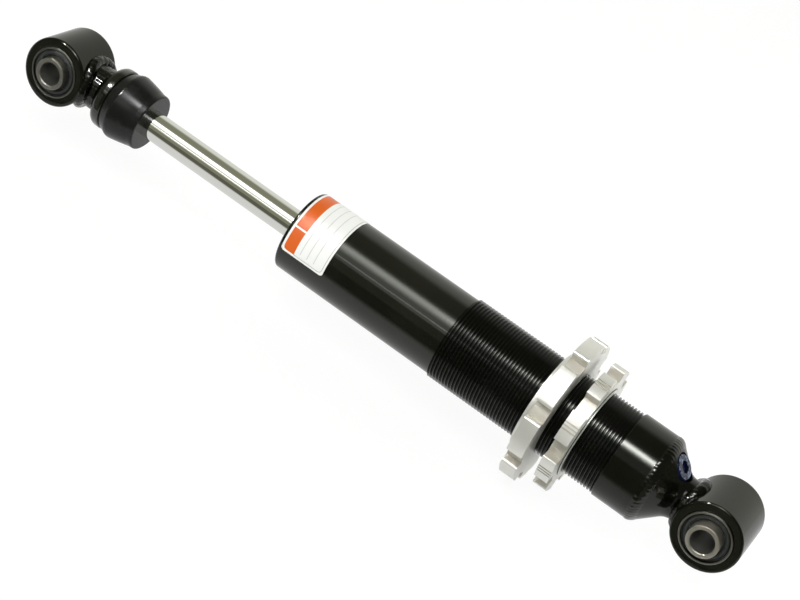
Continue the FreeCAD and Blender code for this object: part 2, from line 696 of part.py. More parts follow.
weld_reach = eye_r + 2 * WELD_LEG
cap = end_cap()
pieces = {
    "upper_eye": eye_tube(0, UPPER_EYE_LENGTH),
    "upper_bush_outer_sleeve": bush_outer_sleeve(0, UPPER_EYE_LENGTH),
    "upper_bush_rubber": bush_rubber(0, UPPER_EYE_LENGTH),
    "upper_bush_inner_sleeve": bush_inner_sleeve(0, UPPER_SLEEVE_LENGTH),
    "upper_eye_boss": upper_eye_boss(),
    "upper_eye_weld": eye_weld(0, boss_r, 0, BOSS_REACH),
    "bump_stop_retainer": bump_stop_retainer(),
    "bump_stop": bump_stop(),
    "rod": rod(),
    "dust_cap": dust_cap(),
    "seal_head_circlip": seal_head_circlip(),
    "rod_dust_wiper": rod_dust_wiper(),
    "seal_head": seal_head(),
    "seal_head_o_ring": seal_head_o_ring(),
    "rod_guide_bush": rod_guide_bush(),
    "rod_oil_seal": rod_oil_seal(),
    "top_out_bumper": top_out_bumper(),
    "piston_stop_washer": piston_stop_washer(),
    "compression_shims": shims(compression_start, COMPRESSION_SHIM_DIAMETERS),
    "piston": piston(),
    "piston_band": piston_band(),
    "rebound_shims": shims(piston_end, REBOUND_SHIM_DIAMETERS),
    "piston_nut": piston_nut(),
    "floating_piston": floating_piston(),
    "floating_piston_o_ring": floating_piston_o_ring(),
    "damper_tube": damper_tube(),
    "barrel_label": barrel_label(),
    "spring_seat_nut": spring_seat_nut(),
    "lock_ring": lock_ring(),
    "end_cap_weld": end_cap_weld(),
    "end_cap": cap,
    "gas_fill_screw": gas_fill_screw(),
    "gas_fill_seal": gas_fill_seal(),
    "lower_eye_weld": eye_weld(EYE_TO_EYE, neck_r, EYE_TO_EYE - weld_reach, EYE_TO_EYE).cut(cap),
    "lower_eye": eye_tube(EYE_TO_EYE, LOWER_EYE_LENGTH),
    "lower_bush_outer_sleeve": bush_outer_sleeve(EYE_TO_EYE, LOWER_EYE_LENGTH + 2 * LOWER_BUSH_PROUD),
    "lower_bush_rubber": bush_rubber(EYE_TO_EYE, LOWER_EYE_LENGTH),
    "lower_bush_inner_sleeve": bush_inner_sleeve(EYE_TO_EYE, LOWER_SLEEVE_LENGTH),
}

for node, shape in pieces.items():
    shape.exportStep(f"parts/{node}.step")
    print(node, len(shape.Solids), "solid", round(shape.Volume, 1), "mm3", shape.isValid())
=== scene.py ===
import logging
import math
import random
from collections.abc import Callable, Sequence
from dataclasses import dataclass
from enum import Enum
from typing import Any, NamedTuple

import bmesh
import bpy
from mathutils import Matrix, Vector


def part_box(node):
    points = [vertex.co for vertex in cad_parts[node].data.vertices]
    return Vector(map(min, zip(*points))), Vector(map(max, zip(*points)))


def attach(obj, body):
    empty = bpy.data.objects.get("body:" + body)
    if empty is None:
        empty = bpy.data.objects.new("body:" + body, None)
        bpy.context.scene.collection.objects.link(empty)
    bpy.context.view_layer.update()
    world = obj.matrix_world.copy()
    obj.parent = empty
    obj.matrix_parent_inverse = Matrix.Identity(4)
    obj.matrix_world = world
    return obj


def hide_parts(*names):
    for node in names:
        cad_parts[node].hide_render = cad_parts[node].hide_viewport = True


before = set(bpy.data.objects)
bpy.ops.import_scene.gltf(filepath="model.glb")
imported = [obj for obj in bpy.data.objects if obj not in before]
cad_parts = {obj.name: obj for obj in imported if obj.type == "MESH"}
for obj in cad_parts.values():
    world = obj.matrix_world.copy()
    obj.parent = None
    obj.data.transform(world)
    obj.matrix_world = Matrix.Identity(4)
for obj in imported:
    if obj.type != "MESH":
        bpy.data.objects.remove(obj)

LOG = logging.getLogger("gas_shock")
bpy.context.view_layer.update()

MM = 0.001
TURN = math.tau
QUARTER = TURN / 4
CENTRE = (0.0, 0.0, 0.0)
ALONG = (1.0, 0.0, 0.0)

# Millimetres: vertices closer than MERGE become one, places closer than NEAR count as the same,
# and SKIN tells the outer skin of a piece from what lies under it.
MERGE = 0.004
NEAR = 0.002
SKIN = 0.1

CREASE = math.radians(32.0)
SEGMENTS = 144
FINE_SEGMENTS = 192
ROUND_STEPS = 4

# Millimetres: sizes that two sub-assemblies share.
BOSS_R = 9.9
NECK_R = 9.6
TUBE_END_R = 19.5
CAP_WELD_DEPTH = 1.8

# Metres: depth of the fine grain on metal, rubber, plastic and paper.
GRAIN_DEPTH = 0.0002

Colour = tuple[float, float, float, float]
Point = tuple[float, float, float]
Pair = tuple[float, float]
Edge = bmesh.types.BMEdge
Face = bmesh.types.BMFace
Vert = bmesh.types.BMVert

WHITE: Colour = (1.0, 1.0, 1.0, 1.0)


class Body(Enum):
    """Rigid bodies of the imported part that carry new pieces."""

    ROD = "rod_assembly"
    TUBE = "damper_body"
    SEAT = "spring_seat_nut"
    LOCK = "lock_ring"
    UPPER_SLEEVE = "upper_bush_sleeve"
    LOWER_SLEEVE = "lower_bush_sleeve"


class End(Enum):
    """The two ends of the shock."""

    UPPER = "upper"
    LOWER = "lower"


class Grain(Enum):
    """Direction that the marks of a turned or drawn surface run in."""

    ROUND = "round"
    ALONG = "along"


class Corner(NamedTuple):
    """A corner of a turned profile, in millimetres, with the radius that breaks it."""

    x: float
    r: float
    round: float = 0.0


class Arc(NamedTuple):
    """A stretch of a ring nut's outline: its radius, its sweep in degrees and its steps."""

    r: float
    sweep: float
    steps: int


def span(node: str) -> Pair:
    """Start and end of a CAD node along the shock's axis, in millimetres."""
    low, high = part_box(node)
    return low.x / MM, high.x / MM


def radius_of(place: Vector) -> float:
    """Distance of a place from the shock's axis."""
    return math.hypot(place.y, place.z)


def angle_of(place: Vector) -> float:
    """Angle of a place about the shock's axis, in radians."""
    return math.atan2(place.z, place.y)


def at_radius(place: Vector, r: float) -> Vector:
    """The place moved square to the shock's axis to a distance r from it."""
    scale = r / radius_of(place)
    return Vector((place.x, place.y * scale, place.z * scale))


def lighten(colour: Colour, gain: float, lift: float = 0.0) -> Colour:
    """A lighter tone of a colour, at most white."""
    return tuple(min(1.0, gain * part + lift) for part in colour[:3]) + (1.0,)


def ring_profile(length: float, inner: Pair, outer: Pair) -> tuple[Corner, ...]:
    """Profile of a plain ring that lies evenly about x = 0, in millimetres.

    Args:
        length: Its length.
        inner: Radius and rounding of its inner corners.
        outer: Radius and rounding of its outer corners.

    Returns:
        The four corners in order.
    """
    half = length / 2
    return Corner(-half, *inner), Corner(half, *inner), Corner(half, *outer), Corner(-half, *outer)


def link(name: str, data: bpy.types.ID) -> bpy.types.Object:
    """Puts a mesh or a camera into the scene.

    Args:
        name: Name of the new object.
        data: What it shows.

    Returns:
        The object.
    """
    made = bpy.data.objects.new(name, data)
    bpy.context.scene.collection.objects.link(made)
    return made


def flat_sheet(name: str, half: float, z: float = 0.0) -> bpy.types.Object:
    """Puts a flat square into the scene.

    Args:
        name: Name of its object.
        half: Half of its side in metres.
        z: Its height in metres.

    Returns:
        Its object.
    """
    bm = bmesh.new()
    bmesh.ops.create_grid(bm, x_segments=1, y_segments=1, size=half, matrix=Matrix.Translation((0.0, 0.0, z)))
    mesh = bpy.data.meshes.new(name)
    bm.to_mesh(mesh)
    bm.free()
    return link(name, mesh)


class Flow:
    """A node output that takes part in arithmetic."""

    def __init__(self, graph: "Graph", made: bpy.types.Node, output: str | int) -> None:
        """Keeps the graph, the node and which of its outputs is meant.

        Args:
            graph: The node tree's wrapper.
            made: The node.
            output: Name or number of the output.
        """
        self.graph = graph
        self.made = made
        self.output = output

    @property
    def socket(self) -> bpy.types.NodeSocket:
        """The output socket itself."""
        return self.made.outputs[self.output]

    def other(self, output: str | int) -> "Flow":
        """Another output of the same node."""
        return Flow(self.graph, self.made, output)

    def _math(self, operation: str, first: Any, second: Any = 0.0) -> "Flow":
        """Adds one Math node."""
        return self.graph.node("ShaderNodeMath", {"operation": operation}, {0: first, 1: second})

    def __add__(self, other: Any) -> "Flow":
        """Sum."""
        return self._math("ADD", self, other)

    def __radd__(self, other: Any) -> "Flow":
        """Sum with a number first."""
        return self._math("ADD", other, self)

    def __sub__(self, other: Any) -> "Flow":
        """Difference."""
        return self._math("SUBTRACT", self, other)

    def __rsub__(self, other: Any) -> "Flow":
        """Difference with a number first."""
        return self._math("SUBTRACT", other, self)

    def __mul__(self, other: Any) -> "Flow":
        """Product."""
        return self._math("MULTIPLY", self, other)

    def __rmul__(self, other: Any) -> "Flow":
        """Product with a number first."""
        return self._math("MULTIPLY", other, self)

    def __gt__(self, other: Any) -> "Flow":
        """One where this is greater, else zero."""
        return self._math("GREATER_THAN", self, other)

    def __lt__(self, other: Any) -> "Flow":
        """One where this is less, else zero."""
        return self._math("LESS_THAN", self, other)

    def __abs__(self) -> "Flow":
        """Size without sign."""
        return self._math("ABSOLUTE", self)

    def root(self) -> "Flow":
        """Square root."""
        return self._math("SQRT", self)

    def most(self, other: Any) -> "Flow":
        """Larger of two values."""
        return self._math("MAXIMUM", self, other)

    def least(self, other: Any) -> "Flow":
        """Smaller of two values."""
        return self._math("MINIMUM", self, other)

    def swing(self, reach: float) -> "Flow":
        """The value folded to and fro between 0 and a reach."""
        return self._math("PINGPONG", self, reach)

    def ease(self, start: float, end: float) -> "Flow":
        """Smooth step from 0 at a start to 1 at an end."""
        settings = {"interpolation_type": "SMOOTHSTEP"}
        return self.graph.node("ShaderNodeMapRange", settings, {0: self, 1: start, 2: end})


class Graph:
    """Node tree of one material or of the world."""

    def __init__(self, owner: bpy.types.ID) -> None:
        """Empties the owner's node tree and keeps it.

        Args:
            owner: The material or the world.
        """
        owner.use_nodes = True
        self.tree = owner.node_tree
        self.tree.nodes.clear()

    def node(self, kind: str, settings: dict[str, Any] | None = None,
             inputs: dict[str | int, Any] | None = None, output: str | int = 0) -> Flow:
        """Adds a node.

        Args:
            kind: The node's type.
            settings: Its own settings, set first.
            inputs: Values or links of its sockets.
            output: The output to hand back.

        Returns:
            That output.
        """
        made = self.tree.nodes.new(kind)
        for key, value in (settings or {}).items():
            setattr(made, key, value)
        for key, value in (inputs or {}).items():
            if isinstance(value, Flow):
                self.tree.links.new(value.socket, made.inputs[key])
            else:
                made.inputs[key].default_value = value
        return Flow(self, made, output)

    def place(self, scale: Point = (1.0, 1.0, 1.0)) -> Flow:
        """Object coordinates in metres, stretched by a scale."""
        at = self.node("ShaderNodeTexCoord", output="Object")
        return self.node("ShaderNodeMapping", inputs={"Vector": at, "Scale": scale})

    def split(self, vector: Flow) -> tuple[Flow, Flow, Flow]:
        """The three parts of a vector."""
        first = self.node("ShaderNodeSeparateXYZ", inputs={0: vector})
        return first, first.other(1), first.other(2)

    def noise(self, at: Flow, scale: float, detail: float = 3.0, roughness: float = 0.5) -> Flow:
        """Cloudy noise from 0 to 1."""
        inputs = {"Vector": at, "Scale": scale, "Detail": detail, "Roughness": roughness}
        return self.node("ShaderNodeTexNoise", inputs=inputs)

    def mix(self, factor: Flow, first: Any, second: Any) -> Flow:
        """Colour between two colours."""
        return self.node("ShaderNodeMix", {"data_type": "RGBA"}, {0: factor, 6: first, 7: second}, 2)

    def vector_math(self, operation: str, first: Any, second: Any, output: str) -> Flow:
        """Adds one Vector Math node."""
        inputs = {0: first, 1: second}
        return self.node("ShaderNodeVectorMath", {"operation": operation}, inputs, output)

    def bump(self, height: Flow, strength: float, distance: float = GRAIN_DEPTH) -> Flow:
        """Normal tilted by a height of about 0 to 1, where 1 is a distance in metres."""
        inputs = {"Strength": strength, "Distance": distance, "Height": height}
        return self.node("ShaderNodeBump", inputs=inputs)

    def end(self, shader: Flow) -> None:
        """Links a shader to the material's output."""
        self.node("ShaderNodeOutputMaterial", inputs={"Surface": shader})

    def surface(self, sockets: dict[str, Any]) -> None:
        """Ends a material in a Principled shader with these sockets."""
        self.end(self.node("ShaderNodeBsdfPrincipled", inputs=sockets))


@dataclass(frozen=True)
class Finish:
    """A finish that is made into a material."""

    name: str

    def lay(self, graph: Graph) -> None:
        """Lays the finish's nodes in a material's graph; each kind of finish has its own."""
        raise NotImplementedError

    def build(self) -> bpy.types.Material:
        """Makes the material.

        Returns:
            The material.
        """
        material = bpy.data.materials.new(self.name)
        self.lay(Graph(material))
        return material


@dataclass(frozen=True)
class Paint(Finish):
    """Black stoving paint: clouded gloss, faint orange peel, fine specks and, on a weld, lumps."""

    colour: Colour
    roughness: float
    specular: float = 0.5
    coat: float = 0.0
    peel: float = 0.03
    lumps: float = 0.0
    tint: Colour = (0.98, 1.0, 0.92, 1.0)
    coat_roughness: float = 0.05
    cloud_scale: float = 45.0
    peel_scale: float = 700.0
    lump_scale: float = 440.0
    speck_scale: float = 2600.0
    peel_depth: float = 0.0004
    lump_depth: float = 0.0012
    cloud_dulling: float = 0.06
    speck_dulling: float = 0.05
    cloud_gain: float = 2.0

    def lay(self, graph: Graph) -> None:
        """Lays the paint's nodes.

        Args:
            graph: The material's graph.
        """
        at = graph.place()
        cloud = graph.noise(at, self.cloud_scale, 5.0, 0.6)
        speck = graph.noise(at, self.speck_scale, 1.0).ease(0.66, 0.74)
        height = graph.noise(at, self.peel_scale, 2.0) * (self.peel * self.peel_depth)
        if self.lumps:
            height = height + graph.noise(at, self.lump_scale, 1.5) * (self.lumps * self.lump_depth)
        lighter = lighten(self.colour, self.cloud_gain)
        rough = (cloud - 0.5) * self.cloud_dulling + self.roughness + speck * self.speck_dulling
        graph.surface({
            "Base Color": graph.mix(cloud.ease(0.35, 0.75), self.colour, lighter),
            "Roughness": rough, "Specular IOR Level": self.specular, "Specular Tint": self.tint,
            "Coat Weight": self.coat, "Coat Roughness": self.coat_roughness,
            "Normal": graph.bump(height, 1.0, 1.0),
        })


@dataclass(frozen=True)
class Metal(Finish):
    """Bare or plated metal with the fine marks of turning, drawing or polishing."""

    colour: Colour
    roughness: float
    grain: Grain = Grain.ROUND
    marks: float = 0.05
    stain: Colour = (0.5, 0.46, 0.38, 1.0)
    stained: float = 0.25
    metallic: float = 1.0
    mark_scale: float = 5200.0
    drawn_scale: float = 40.0
    cloud_scale: float = 80.0
    mark_dulling: float = 0.1
    cloud_dulling: float = 0.12

    def mark_place(self, graph: Graph, at: Flow) -> Flow:
        """Coordinates in which the marks run the metal's way.

        Args:
            graph: The material's graph.
            at: Object coordinates.

        Returns:
            The stretched coordinates.
        """
        if self.grain is Grain.ALONG:
            return graph.place((self.drawn_scale, self.mark_scale, self.mark_scale))
        x, y, z = graph.split(at)
        across = graph.node("ShaderNodeCombineXYZ", inputs={1: y, 2: z})
        radius = graph.vector_math("LENGTH", across, CENTRE, "Value")
        inputs = {0: x * self.mark_scale, 1: radius * self.mark_scale}
        return graph.node("ShaderNodeCombineXYZ", inputs=inputs)

    def lay(self, graph: Graph) -> None:
        """Lays the metal's nodes.

        Args:
            graph: The material's graph.
        """
        at = graph.place()
        mark = graph.noise(self.mark_place(graph, at), 1.0, 2.0)
        cloud = graph.noise(at, self.cloud_scale, 5.0, 0.62)
        colour = self.colour
        if self.stained:
            colour = graph.mix(cloud.ease(0.5, 0.78) * self.stained, self.colour, self.stain)
        dulling = (mark - 0.5) * self.mark_dulling + (cloud - 0.5) * self.cloud_dulling
        graph.surface({
            "Base Color": colour, "Metallic": self.metallic, "Roughness": dulling + self.roughness,
            "Normal": graph.bump(mark, self.marks),
        })


@dataclass(frozen=True)
class Elastomer(Finish):
    """Moulded rubber with a matt skin, fine grain and a little bloom."""

    colour: Colour
    bloom: Colour
    roughness: float
    grain: float = 0.12
    specular: float = 0.42
    cloud_scale: float = 130.0
    grain_scale: float = 2400.0
    cloud_dulling: float = 0.12

    def lay(self, graph: Graph) -> None:
        """Lays the rubber's nodes.

        Args:
            graph: The material's graph.
        """
        at = graph.place()
        cloud = graph.noise(at, self.cloud_scale, 6.0, 0.65)
        grain = graph.noise(at, self.grain_scale, 3.0)
        graph.surface({
            "Base Color": graph.mix(cloud.ease(0.42, 0.8), self.colour, self.bloom),
            "Roughness": (cloud - 0.5) * self.cloud_dulling + self.roughness,
            "Specular IOR Level": self.specular, "Normal": graph.bump(grain, self.grain),
        })


@dataclass(frozen=True)
class Plastic(Finish):
    """Plain filled plastic with a mottled tone."""

    colour: Colour
    roughness: float
    mottle_scale: float = 420.0
    mottle_dulling: float = 0.15
    mottle_bump: float = 0.08

    def lay(self, graph: Graph) -> None:
        """Lays the plastic's nodes.

        Args:
            graph: The material's graph.
        """
        mottle = graph.noise(graph.place(), self.mottle_scale, 5.0)
        graph.surface({
            "Base Color": graph.mix(mottle, self.colour, lighten(self.colour, 1.25, 0.01)),
            "Roughness": (mottle - 0.5) * self.mottle_dulling + self.roughness,
            "Normal": graph.bump(mottle, self.mottle_bump),
        })


@dataclass(frozen=True)
class SealingLacquer(Finish):
    """Dark blue lacquer on the fill screw's rim and in its socket, worn thin over its face, in metres."""

    colour: Colour
    worn: Colour
    centre: Point
    axis: Point
    pool_scale: float = 420.0
    pool_cover: float = 0.95
    pool_bump: float = 0.35
    pool_depth: float = 0.0008
    socket_depth: float = 0.0004
    rim_depth: float = 0.0001
    specular: float = 0.4

    def lay(self, graph: Graph) -> None:
        """Lays the lacquer's nodes.

        Args:
            graph: The material's graph.
        """
        at = graph.place()
        pool = graph.noise(at, self.pool_scale, 4.0, 0.6)
        offset = graph.vector_math("SUBTRACT", at, self.centre, "Vector")
        height = graph.vector_math("DOT_PRODUCT", offset, self.axis, "Value")
        thin = 1.0 - pool.ease(0.42, 0.54) * self.pool_cover
        face = height.ease(-self.socket_depth, -self.rim_depth) * thin
        graph.surface({
            "Base Color": graph.mix(face, self.colour, self.worn),
            "Roughness": pool.ease(0.3, 0.8) * 0.1 + face * 0.2 + 0.1, "Specular IOR Level": self.specular,
            "Normal": graph.bump(pool, self.pool_bump, self.pool_depth),
        })


@dataclass(frozen=True)
class PrintedLabel(Finish):
    """Glossy white label with a coloured band and plain rules, laid out flat in millimetres."""

    width: float
    height: float
    paper: Colour = (0.93, 0.935, 0.92, 1.0)
    band: Colour = (0.76, 0.125, 0.005, 1.0)
    ink: Colour = (0.42, 0.43, 0.42, 1.0)
    margin: float = 1.0
    corner: float = 1.6
    band_end: float = 6.4
    split_at: float = 11.9
    split_width: float = 0.8
    line: float = 0.13
    first_rule: float = 8.9
    rule_pitch: float = 3.4
    rule_half: float = 0.16
    rules_start: float = 8.0
    rules_end: float = 17.0
    rule_inset: float = 2.6
    rule_tone: float = 0.55
    scuff_tone: float = 0.12
    roughness: float = 0.3

    def frame_line(self, across: Flow, down: Flow) -> Flow:
        """Distance inside the print's frame, which has rounded corners.

        Args:
            across: Place across the label.
            down: Place down the label.

        Returns:
            The distance, which is 0 on the frame and less than 0 outside it.
        """
        reach = self.margin + self.corner
        in_x = (reach - across.least(self.width - across)).most(0.0)
        in_y = (reach - down.least(self.height - down)).most(0.0)
        return self.corner - (in_x * in_x + in_y * in_y).root()

    def rules(self, across: Flow, down: Flow) -> Flow:
        """Where the plain rules lie.

        Args:
            across: Place across the label.
            down: Place down the label.

        Returns:
            One on a rule, else zero.
        """
        from_edge = across.least(self.width - across).least(down.least(self.height - down))
        on_rule = (down - self.first_rule).swing(self.rule_pitch / 2) < self.rule_half
        return on_rule * (down > self.rules_start) * (down < self.rules_end) * (from_edge > self.rule_inset)

    def lay(self, graph: Graph) -> None:
        """Lays the label's nodes.

        Args:
            graph: The material's graph.
        """
        u, v, _ = graph.split(graph.node("ShaderNodeUVMap", {"uv_map": "print"}))
        across = u * self.width
        down = v * self.height
        inside = self.frame_line(across, down)
        whole = abs(across - self.split_at) > self.split_width / 2
        in_band = (inside > 0.0) * whole * (down < self.band_end)
        border = (abs(inside) < self.line) * (down > self.band_end)
        marks = border.most(self.rules(across, down) * self.rule_tone)
        at = graph.place()
        fibre = graph.noise(at, 1500.0, 2.0)
        scuff = graph.noise(at, 90.0, 5.0).ease(0.55, 0.8) * self.scuff_tone
        paper = graph.mix(scuff, self.paper, self.ink)
        graph.surface({
            "Base Color": graph.mix(marks, graph.mix(in_band, paper, self.band), self.ink),
            "Roughness": scuff + self.roughness, "Normal": graph.bump(fibre, 0.02),
        })


class Palette:
    """Every finish on the shock, each made once."""

    def __init__(self) -> None:
        """Makes the finishes."""
        finishes = (
            Paint("barrel_black", (0.0024, 0.0025, 0.0019, 1.0), 0.075, 0.6),
            Paint("end_black", (0.0022, 0.0022, 0.0016, 1.0), 0.09, 0.38),
            Paint("eye_black", (0.0025, 0.0025, 0.0018, 1.0), 0.1, 0.34, peel=0.06,
                  tint=(0.96, 1.0, 0.84, 1.0)),
            Paint("gloss_black", (0.0016, 0.0017, 0.0012, 1.0), 0.08, coat=0.5),
            Paint("thread_black", (0.0036, 0.0036, 0.0031, 1.0), 0.085, 0.38),
            Paint("weld_black", (0.0008, 0.0008, 0.0006, 1.0), 0.045, 0.36, coat=0.1, peel=0.1, lumps=0.42),
            Paint("rim_weld_black", (0.0014, 0.0014, 0.001, 1.0), 0.07, 0.4, coat=0.1, peel=0.1, lumps=0.18),
            Metal("chrome", (0.77, 0.77, 0.735, 1.0), 0.055, Grain.ALONG, marks=0.015, stained=0.0),
            Metal("ring_bright", (0.75, 0.745, 0.705, 1.0), 0.36, marks=0.06, stained=0.08, metallic=0.6),
            # Rougher milled metal for the notches and grip grooves, darker and warmer than the rim: painted
            # shade in the recesses.
            Metal("ring_recess_painted_shade", (0.57, 0.55, 0.49, 1.0), 0.5, marks=0.06, metallic=0.7),
            # Near-black metal at the lock ring's hub root: painted shade in the corner between face and hub.
            Metal("ring_root_painted_shade", (0.05, 0.05, 0.045, 1.0), 0.35, marks=0.06, stained=0.0),
            Metal("upper_zinc", (0.25, 0.247, 0.22, 1.0), 0.46, marks=0.1, stain=(0.16, 0.145, 0.12, 1.0)),
            Metal("lower_zinc", (0.44, 0.425, 0.375, 1.0), 0.48, marks=0.1, stain=(0.3, 0.27, 0.22, 1.0)),
            # Dark, half-diffuse metal inside the sleeves' bores: painted shade down the bore.
            Metal("sleeve_bore_painted_shade", (0.085, 0.083, 0.075, 1.0), 0.4, marks=0.1, stained=0.0, metallic=0.3),
            Metal("upper_band", (0.17, 0.17, 0.155, 1.0), 0.3, marks=0.08, stain=(0.08, 0.08, 0.072, 1.0),
                  stained=0.5),
            Metal("lower_band", (0.24, 0.235, 0.21, 1.0), 0.32, marks=0.08, stain=(0.09, 0.085, 0.075, 1.0),
                  stained=0.5),
            Metal("turned_aluminium", (0.7, 0.7, 0.71, 1.0), 0.3),
            Metal("turned_steel", (0.52, 0.52, 0.52, 1.0), 0.32),
            Metal("spring_steel", (0.32, 0.33, 0.37, 1.0), 0.28),
            Metal("bronze", (0.6, 0.38, 0.17, 1.0), 0.33),
            Elastomer("bush_rubber", (0.016, 0.0188, 0.0178, 1.0), (0.028, 0.032, 0.03, 1.0), 0.42),
            Elastomer("bump_rubber", (0.0075, 0.008, 0.0076, 1.0), (0.014, 0.0148, 0.014, 1.0), 0.2,
                      grain=0.04, specular=0.27),
            Elastomer("seal_rubber", (0.01, 0.01, 0.01, 1.0), (0.02, 0.02, 0.02, 1.0), 0.45),
            Plastic("band_plastic", (0.3, 0.2, 0.1, 1.0), 0.5),
            Plastic("cap_plastic", (0.02, 0.02, 0.02, 1.0), 0.45),
        )
        self.made = {finish.name: finish.build() for finish in finishes}

    def __getitem__(self, name: str) -> bpy.types.Material:
        """The material of that name."""
        return self.made[name]

    def add(self, finish: Finish) -> bpy.types.Material:
        """Makes one more finish and hands back its material."""
        self.made[finish.name] = finish.build()
        return self.made[finish.name]


class Workpiece:
    """One mesh being shaped, in millimetres and about the shock's axis until it is laid in place."""

    def __init__(self, name: str) -> None:
        """Starts an empty mesh."""
        self.name = name
        self.bm = bmesh.new()

    def geometry(self) -> list[Vert | Edge | Face]:
        """Every vertex, edge and face."""
        return [*self.bm.verts, *self.bm.edges, *self.bm.faces]

    def merge(self) -> None:
        """Merges doubles."""
        bmesh.ops.remove_doubles(self.bm, verts=self.bm.verts[:], dist=MERGE)

    def face_out(self) -> None:
        """Turns all faces outwards."""
        bmesh.ops.recalc_face_normals(self.bm, faces=self.bm.faces[:])

    def clean(self) -> None:
        """Merges doubles and turns all faces outwards."""
        self.merge()
        self.face_out()

    def turn(self, corners: Sequence[Corner], segments: int = SEGMENTS) -> "Workpiece":
        """Turns a closed profile about the axis and rounds the corners that ask for it.

        Args:
            corners: The profile in order; two corners on the axis close it there.
            segments: Steps round the axis.

        Returns:
            The piece itself.
        """
        verts = [self.bm.verts.new((c.x, 0.0, c.r)) for c in corners]
        pairs = [p for p in zip(verts, verts[1:] + verts[:1]) if p[0].co.z or p[1].co.z]
        edges = [self.bm.edges.new(pair) for pair in pairs]
        bmesh.ops.spin(self.bm, geom=[*verts, *edges], cent=CENTRE, axis=ALONG, angle=TURN,
                       steps=segments, use_merge=True)
        self.clean()
        for corner in corners:
            if corner.round:
                self.bevel(self.ring_edges(corner), corner.round, ROUND_STEPS)
        return self

    def ring_edges(self, corner: Corner) -> list[Edge]:
        """Edges of the ring that a corner of the profile turns into.

        Args:
            corner: The corner.

        Returns:
            The ring's edges.
        """
        def on_ring(vert: Vert) -> bool:
            """Whether a vertex lies on the ring."""
            return abs(vert.co.x - corner.x) < NEAR and abs(radius_of(vert.co) - corner.r) < NEAR

        return [e for e in self.bm.edges if on_ring(e.verts[0]) and on_ring(e.verts[1])]

    def sharp_edges(self, angle: float) -> list[Edge]:
        """Edges whose two faces meet at more than an angle in radians."""
        return [e for e in self.bm.edges if len(e.link_faces) == 2 and e.calc_face_angle() > angle]

    def bevel(self, edges: list[Edge], offset: float, segments: int) -> None:
        """Rounds edges by an offset."""
        bmesh.ops.bevel(self.bm, geom=edges, offset=offset, offset_type="OFFSET", affect="EDGES",
                        segments=segments, profile=0.5, material=-1, clamp_overlap=True)

    def relief(self, move: Callable[[Vector], Vector]) -> None:
        """Moves each vertex to where a function says."""
        for vert in self.bm.verts:
            vert.co = move(vert.co)

    def mark(self, where: Callable[[Face], bool], finish: int = 1) -> None:
        """Gives the faces that a test picks another of the piece's finishes.

        Args:
            where: The test.
            finish: Number of the finish.
        """
        for face in self.bm.faces:
            if where(face):
                face.material_index = finish

    def lay(self, matrix: Matrix) -> None:
        """Turns or shifts the whole piece."""
        bmesh.ops.transform(self.bm, matrix=matrix, verts=self.bm.verts[:])

    def cut(self, x: float, **clear: bool) -> None:
        """Cuts the piece square to the axis, and clears a side of the cut where asked."""
        bmesh.ops.bisect_plane(self.bm, geom=self.geometry(), plane_co=(x, 0.0, 0.0), plane_no=ALONG, **clear)

    def step_to(self, tip: Vert, r: float) -> Vert:
        """Extrudes a vertex radially.

        Args:
            tip: The vertex.
            r: Radius to reach.

        Returns:
            The new vertex.
        """
        step = bmesh.ops.extrude_vert_indiv(self.bm, verts=[tip])["verts"][0]
        step.co = at_radius(step.co, r)
        return step

    def outline(self, x: float, arcs: Sequence[Arc], repeats: int) -> list[Edge]:
        """Closed outline square to the axis, made of arcs joined by radial steps and repeated round.

        Args:
            x: Its place along the axis.
            arcs: One repeat of the outline.
            repeats: Number of repeats in a full turn.

        Returns:
            The outline's edges.
        """
        tip = self.bm.verts.new((x, arcs[0].r, 0.0))
        for arc in arcs:
            if abs(radius_of(tip.co) - arc.r) > NEAR:
                tip = self.step_to(tip, arc.r)
            swept = bmesh.ops.spin(self.bm, geom=[tip], cent=CENTRE, axis=ALONG,
                                   angle=math.radians(arc.sweep), steps=arc.steps)
            tip = next(g for g in swept["geom_last"] if isinstance(g, Vert))
        self.step_to(tip, arcs[0].r)
        bmesh.ops.spin(self.bm, geom=self.geometry(), cent=CENTRE, axis=ALONG,
                       angle=TURN * (repeats - 1) / repeats, steps=repeats - 1, use_duplicate=True)
        self.merge()
        return self.bm.edges[:]

    def draw(self, loop: Sequence[Edge], x: float, r: float | None = None) -> list[Edge]:
        """Extrudes a loop of edges to a new place.

        Args:
            loop: The loop's edges.
            x: Where the new loop lies along the axis.
            r: Its radius, or none to keep the outline.

        Returns:
            The new loop's edges.
        """
        made = bmesh.ops.extrude_edge_only(self.bm, edges=list(loop))["geom"]
        verts = {g for g in made if isinstance(g, Vert)}
        for vert in verts:
            vert.co.x = x
            if r is not None:
                vert.co = at_radius(vert.co, r)
        return [g for g in made if isinstance(g, Edge) and verts.issuperset(g.verts)]

    def shade(self) -> None:
        """Shades smoothly, with edges sharper than the crease angle kept hard."""
        for face in self.bm.faces:
            face.smooth = True
        for edge in self.bm.edges:
            edge.smooth = not edge.is_manifold or edge.calc_face_angle() < CREASE

    def place(self, body: Body, slot: str, node: str, *finishes: bpy.types.Material) -> None:
        """Ends the shaping and puts the piece into the scene.

        Args:
            body: The body that it moves with.
            slot: The record's material slot of its finish; not used.
            node: The CAD node that it stands for.
            finishes: Its finish, then those of its marked faces.
        """
        bmesh.ops.scale(self.bm, vec=(MM, MM, MM), verts=self.bm.verts[:])
        self.shade()
        mesh = bpy.data.meshes.new(self.name)
        self.bm.to_mesh(mesh)
        self.bm.free()
        for finish in finishes:
            mesh.materials.append(finish)
        piece = link(self.name, mesh)
        piece.modifiers.new("flat_faces", "WEIGHTED_NORMAL").keep_sharp = True
        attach(piece, body.value)
        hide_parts(node)
        LOG.info("%s on %s, %d faces", self.name, body.value, len(mesh.polygons))


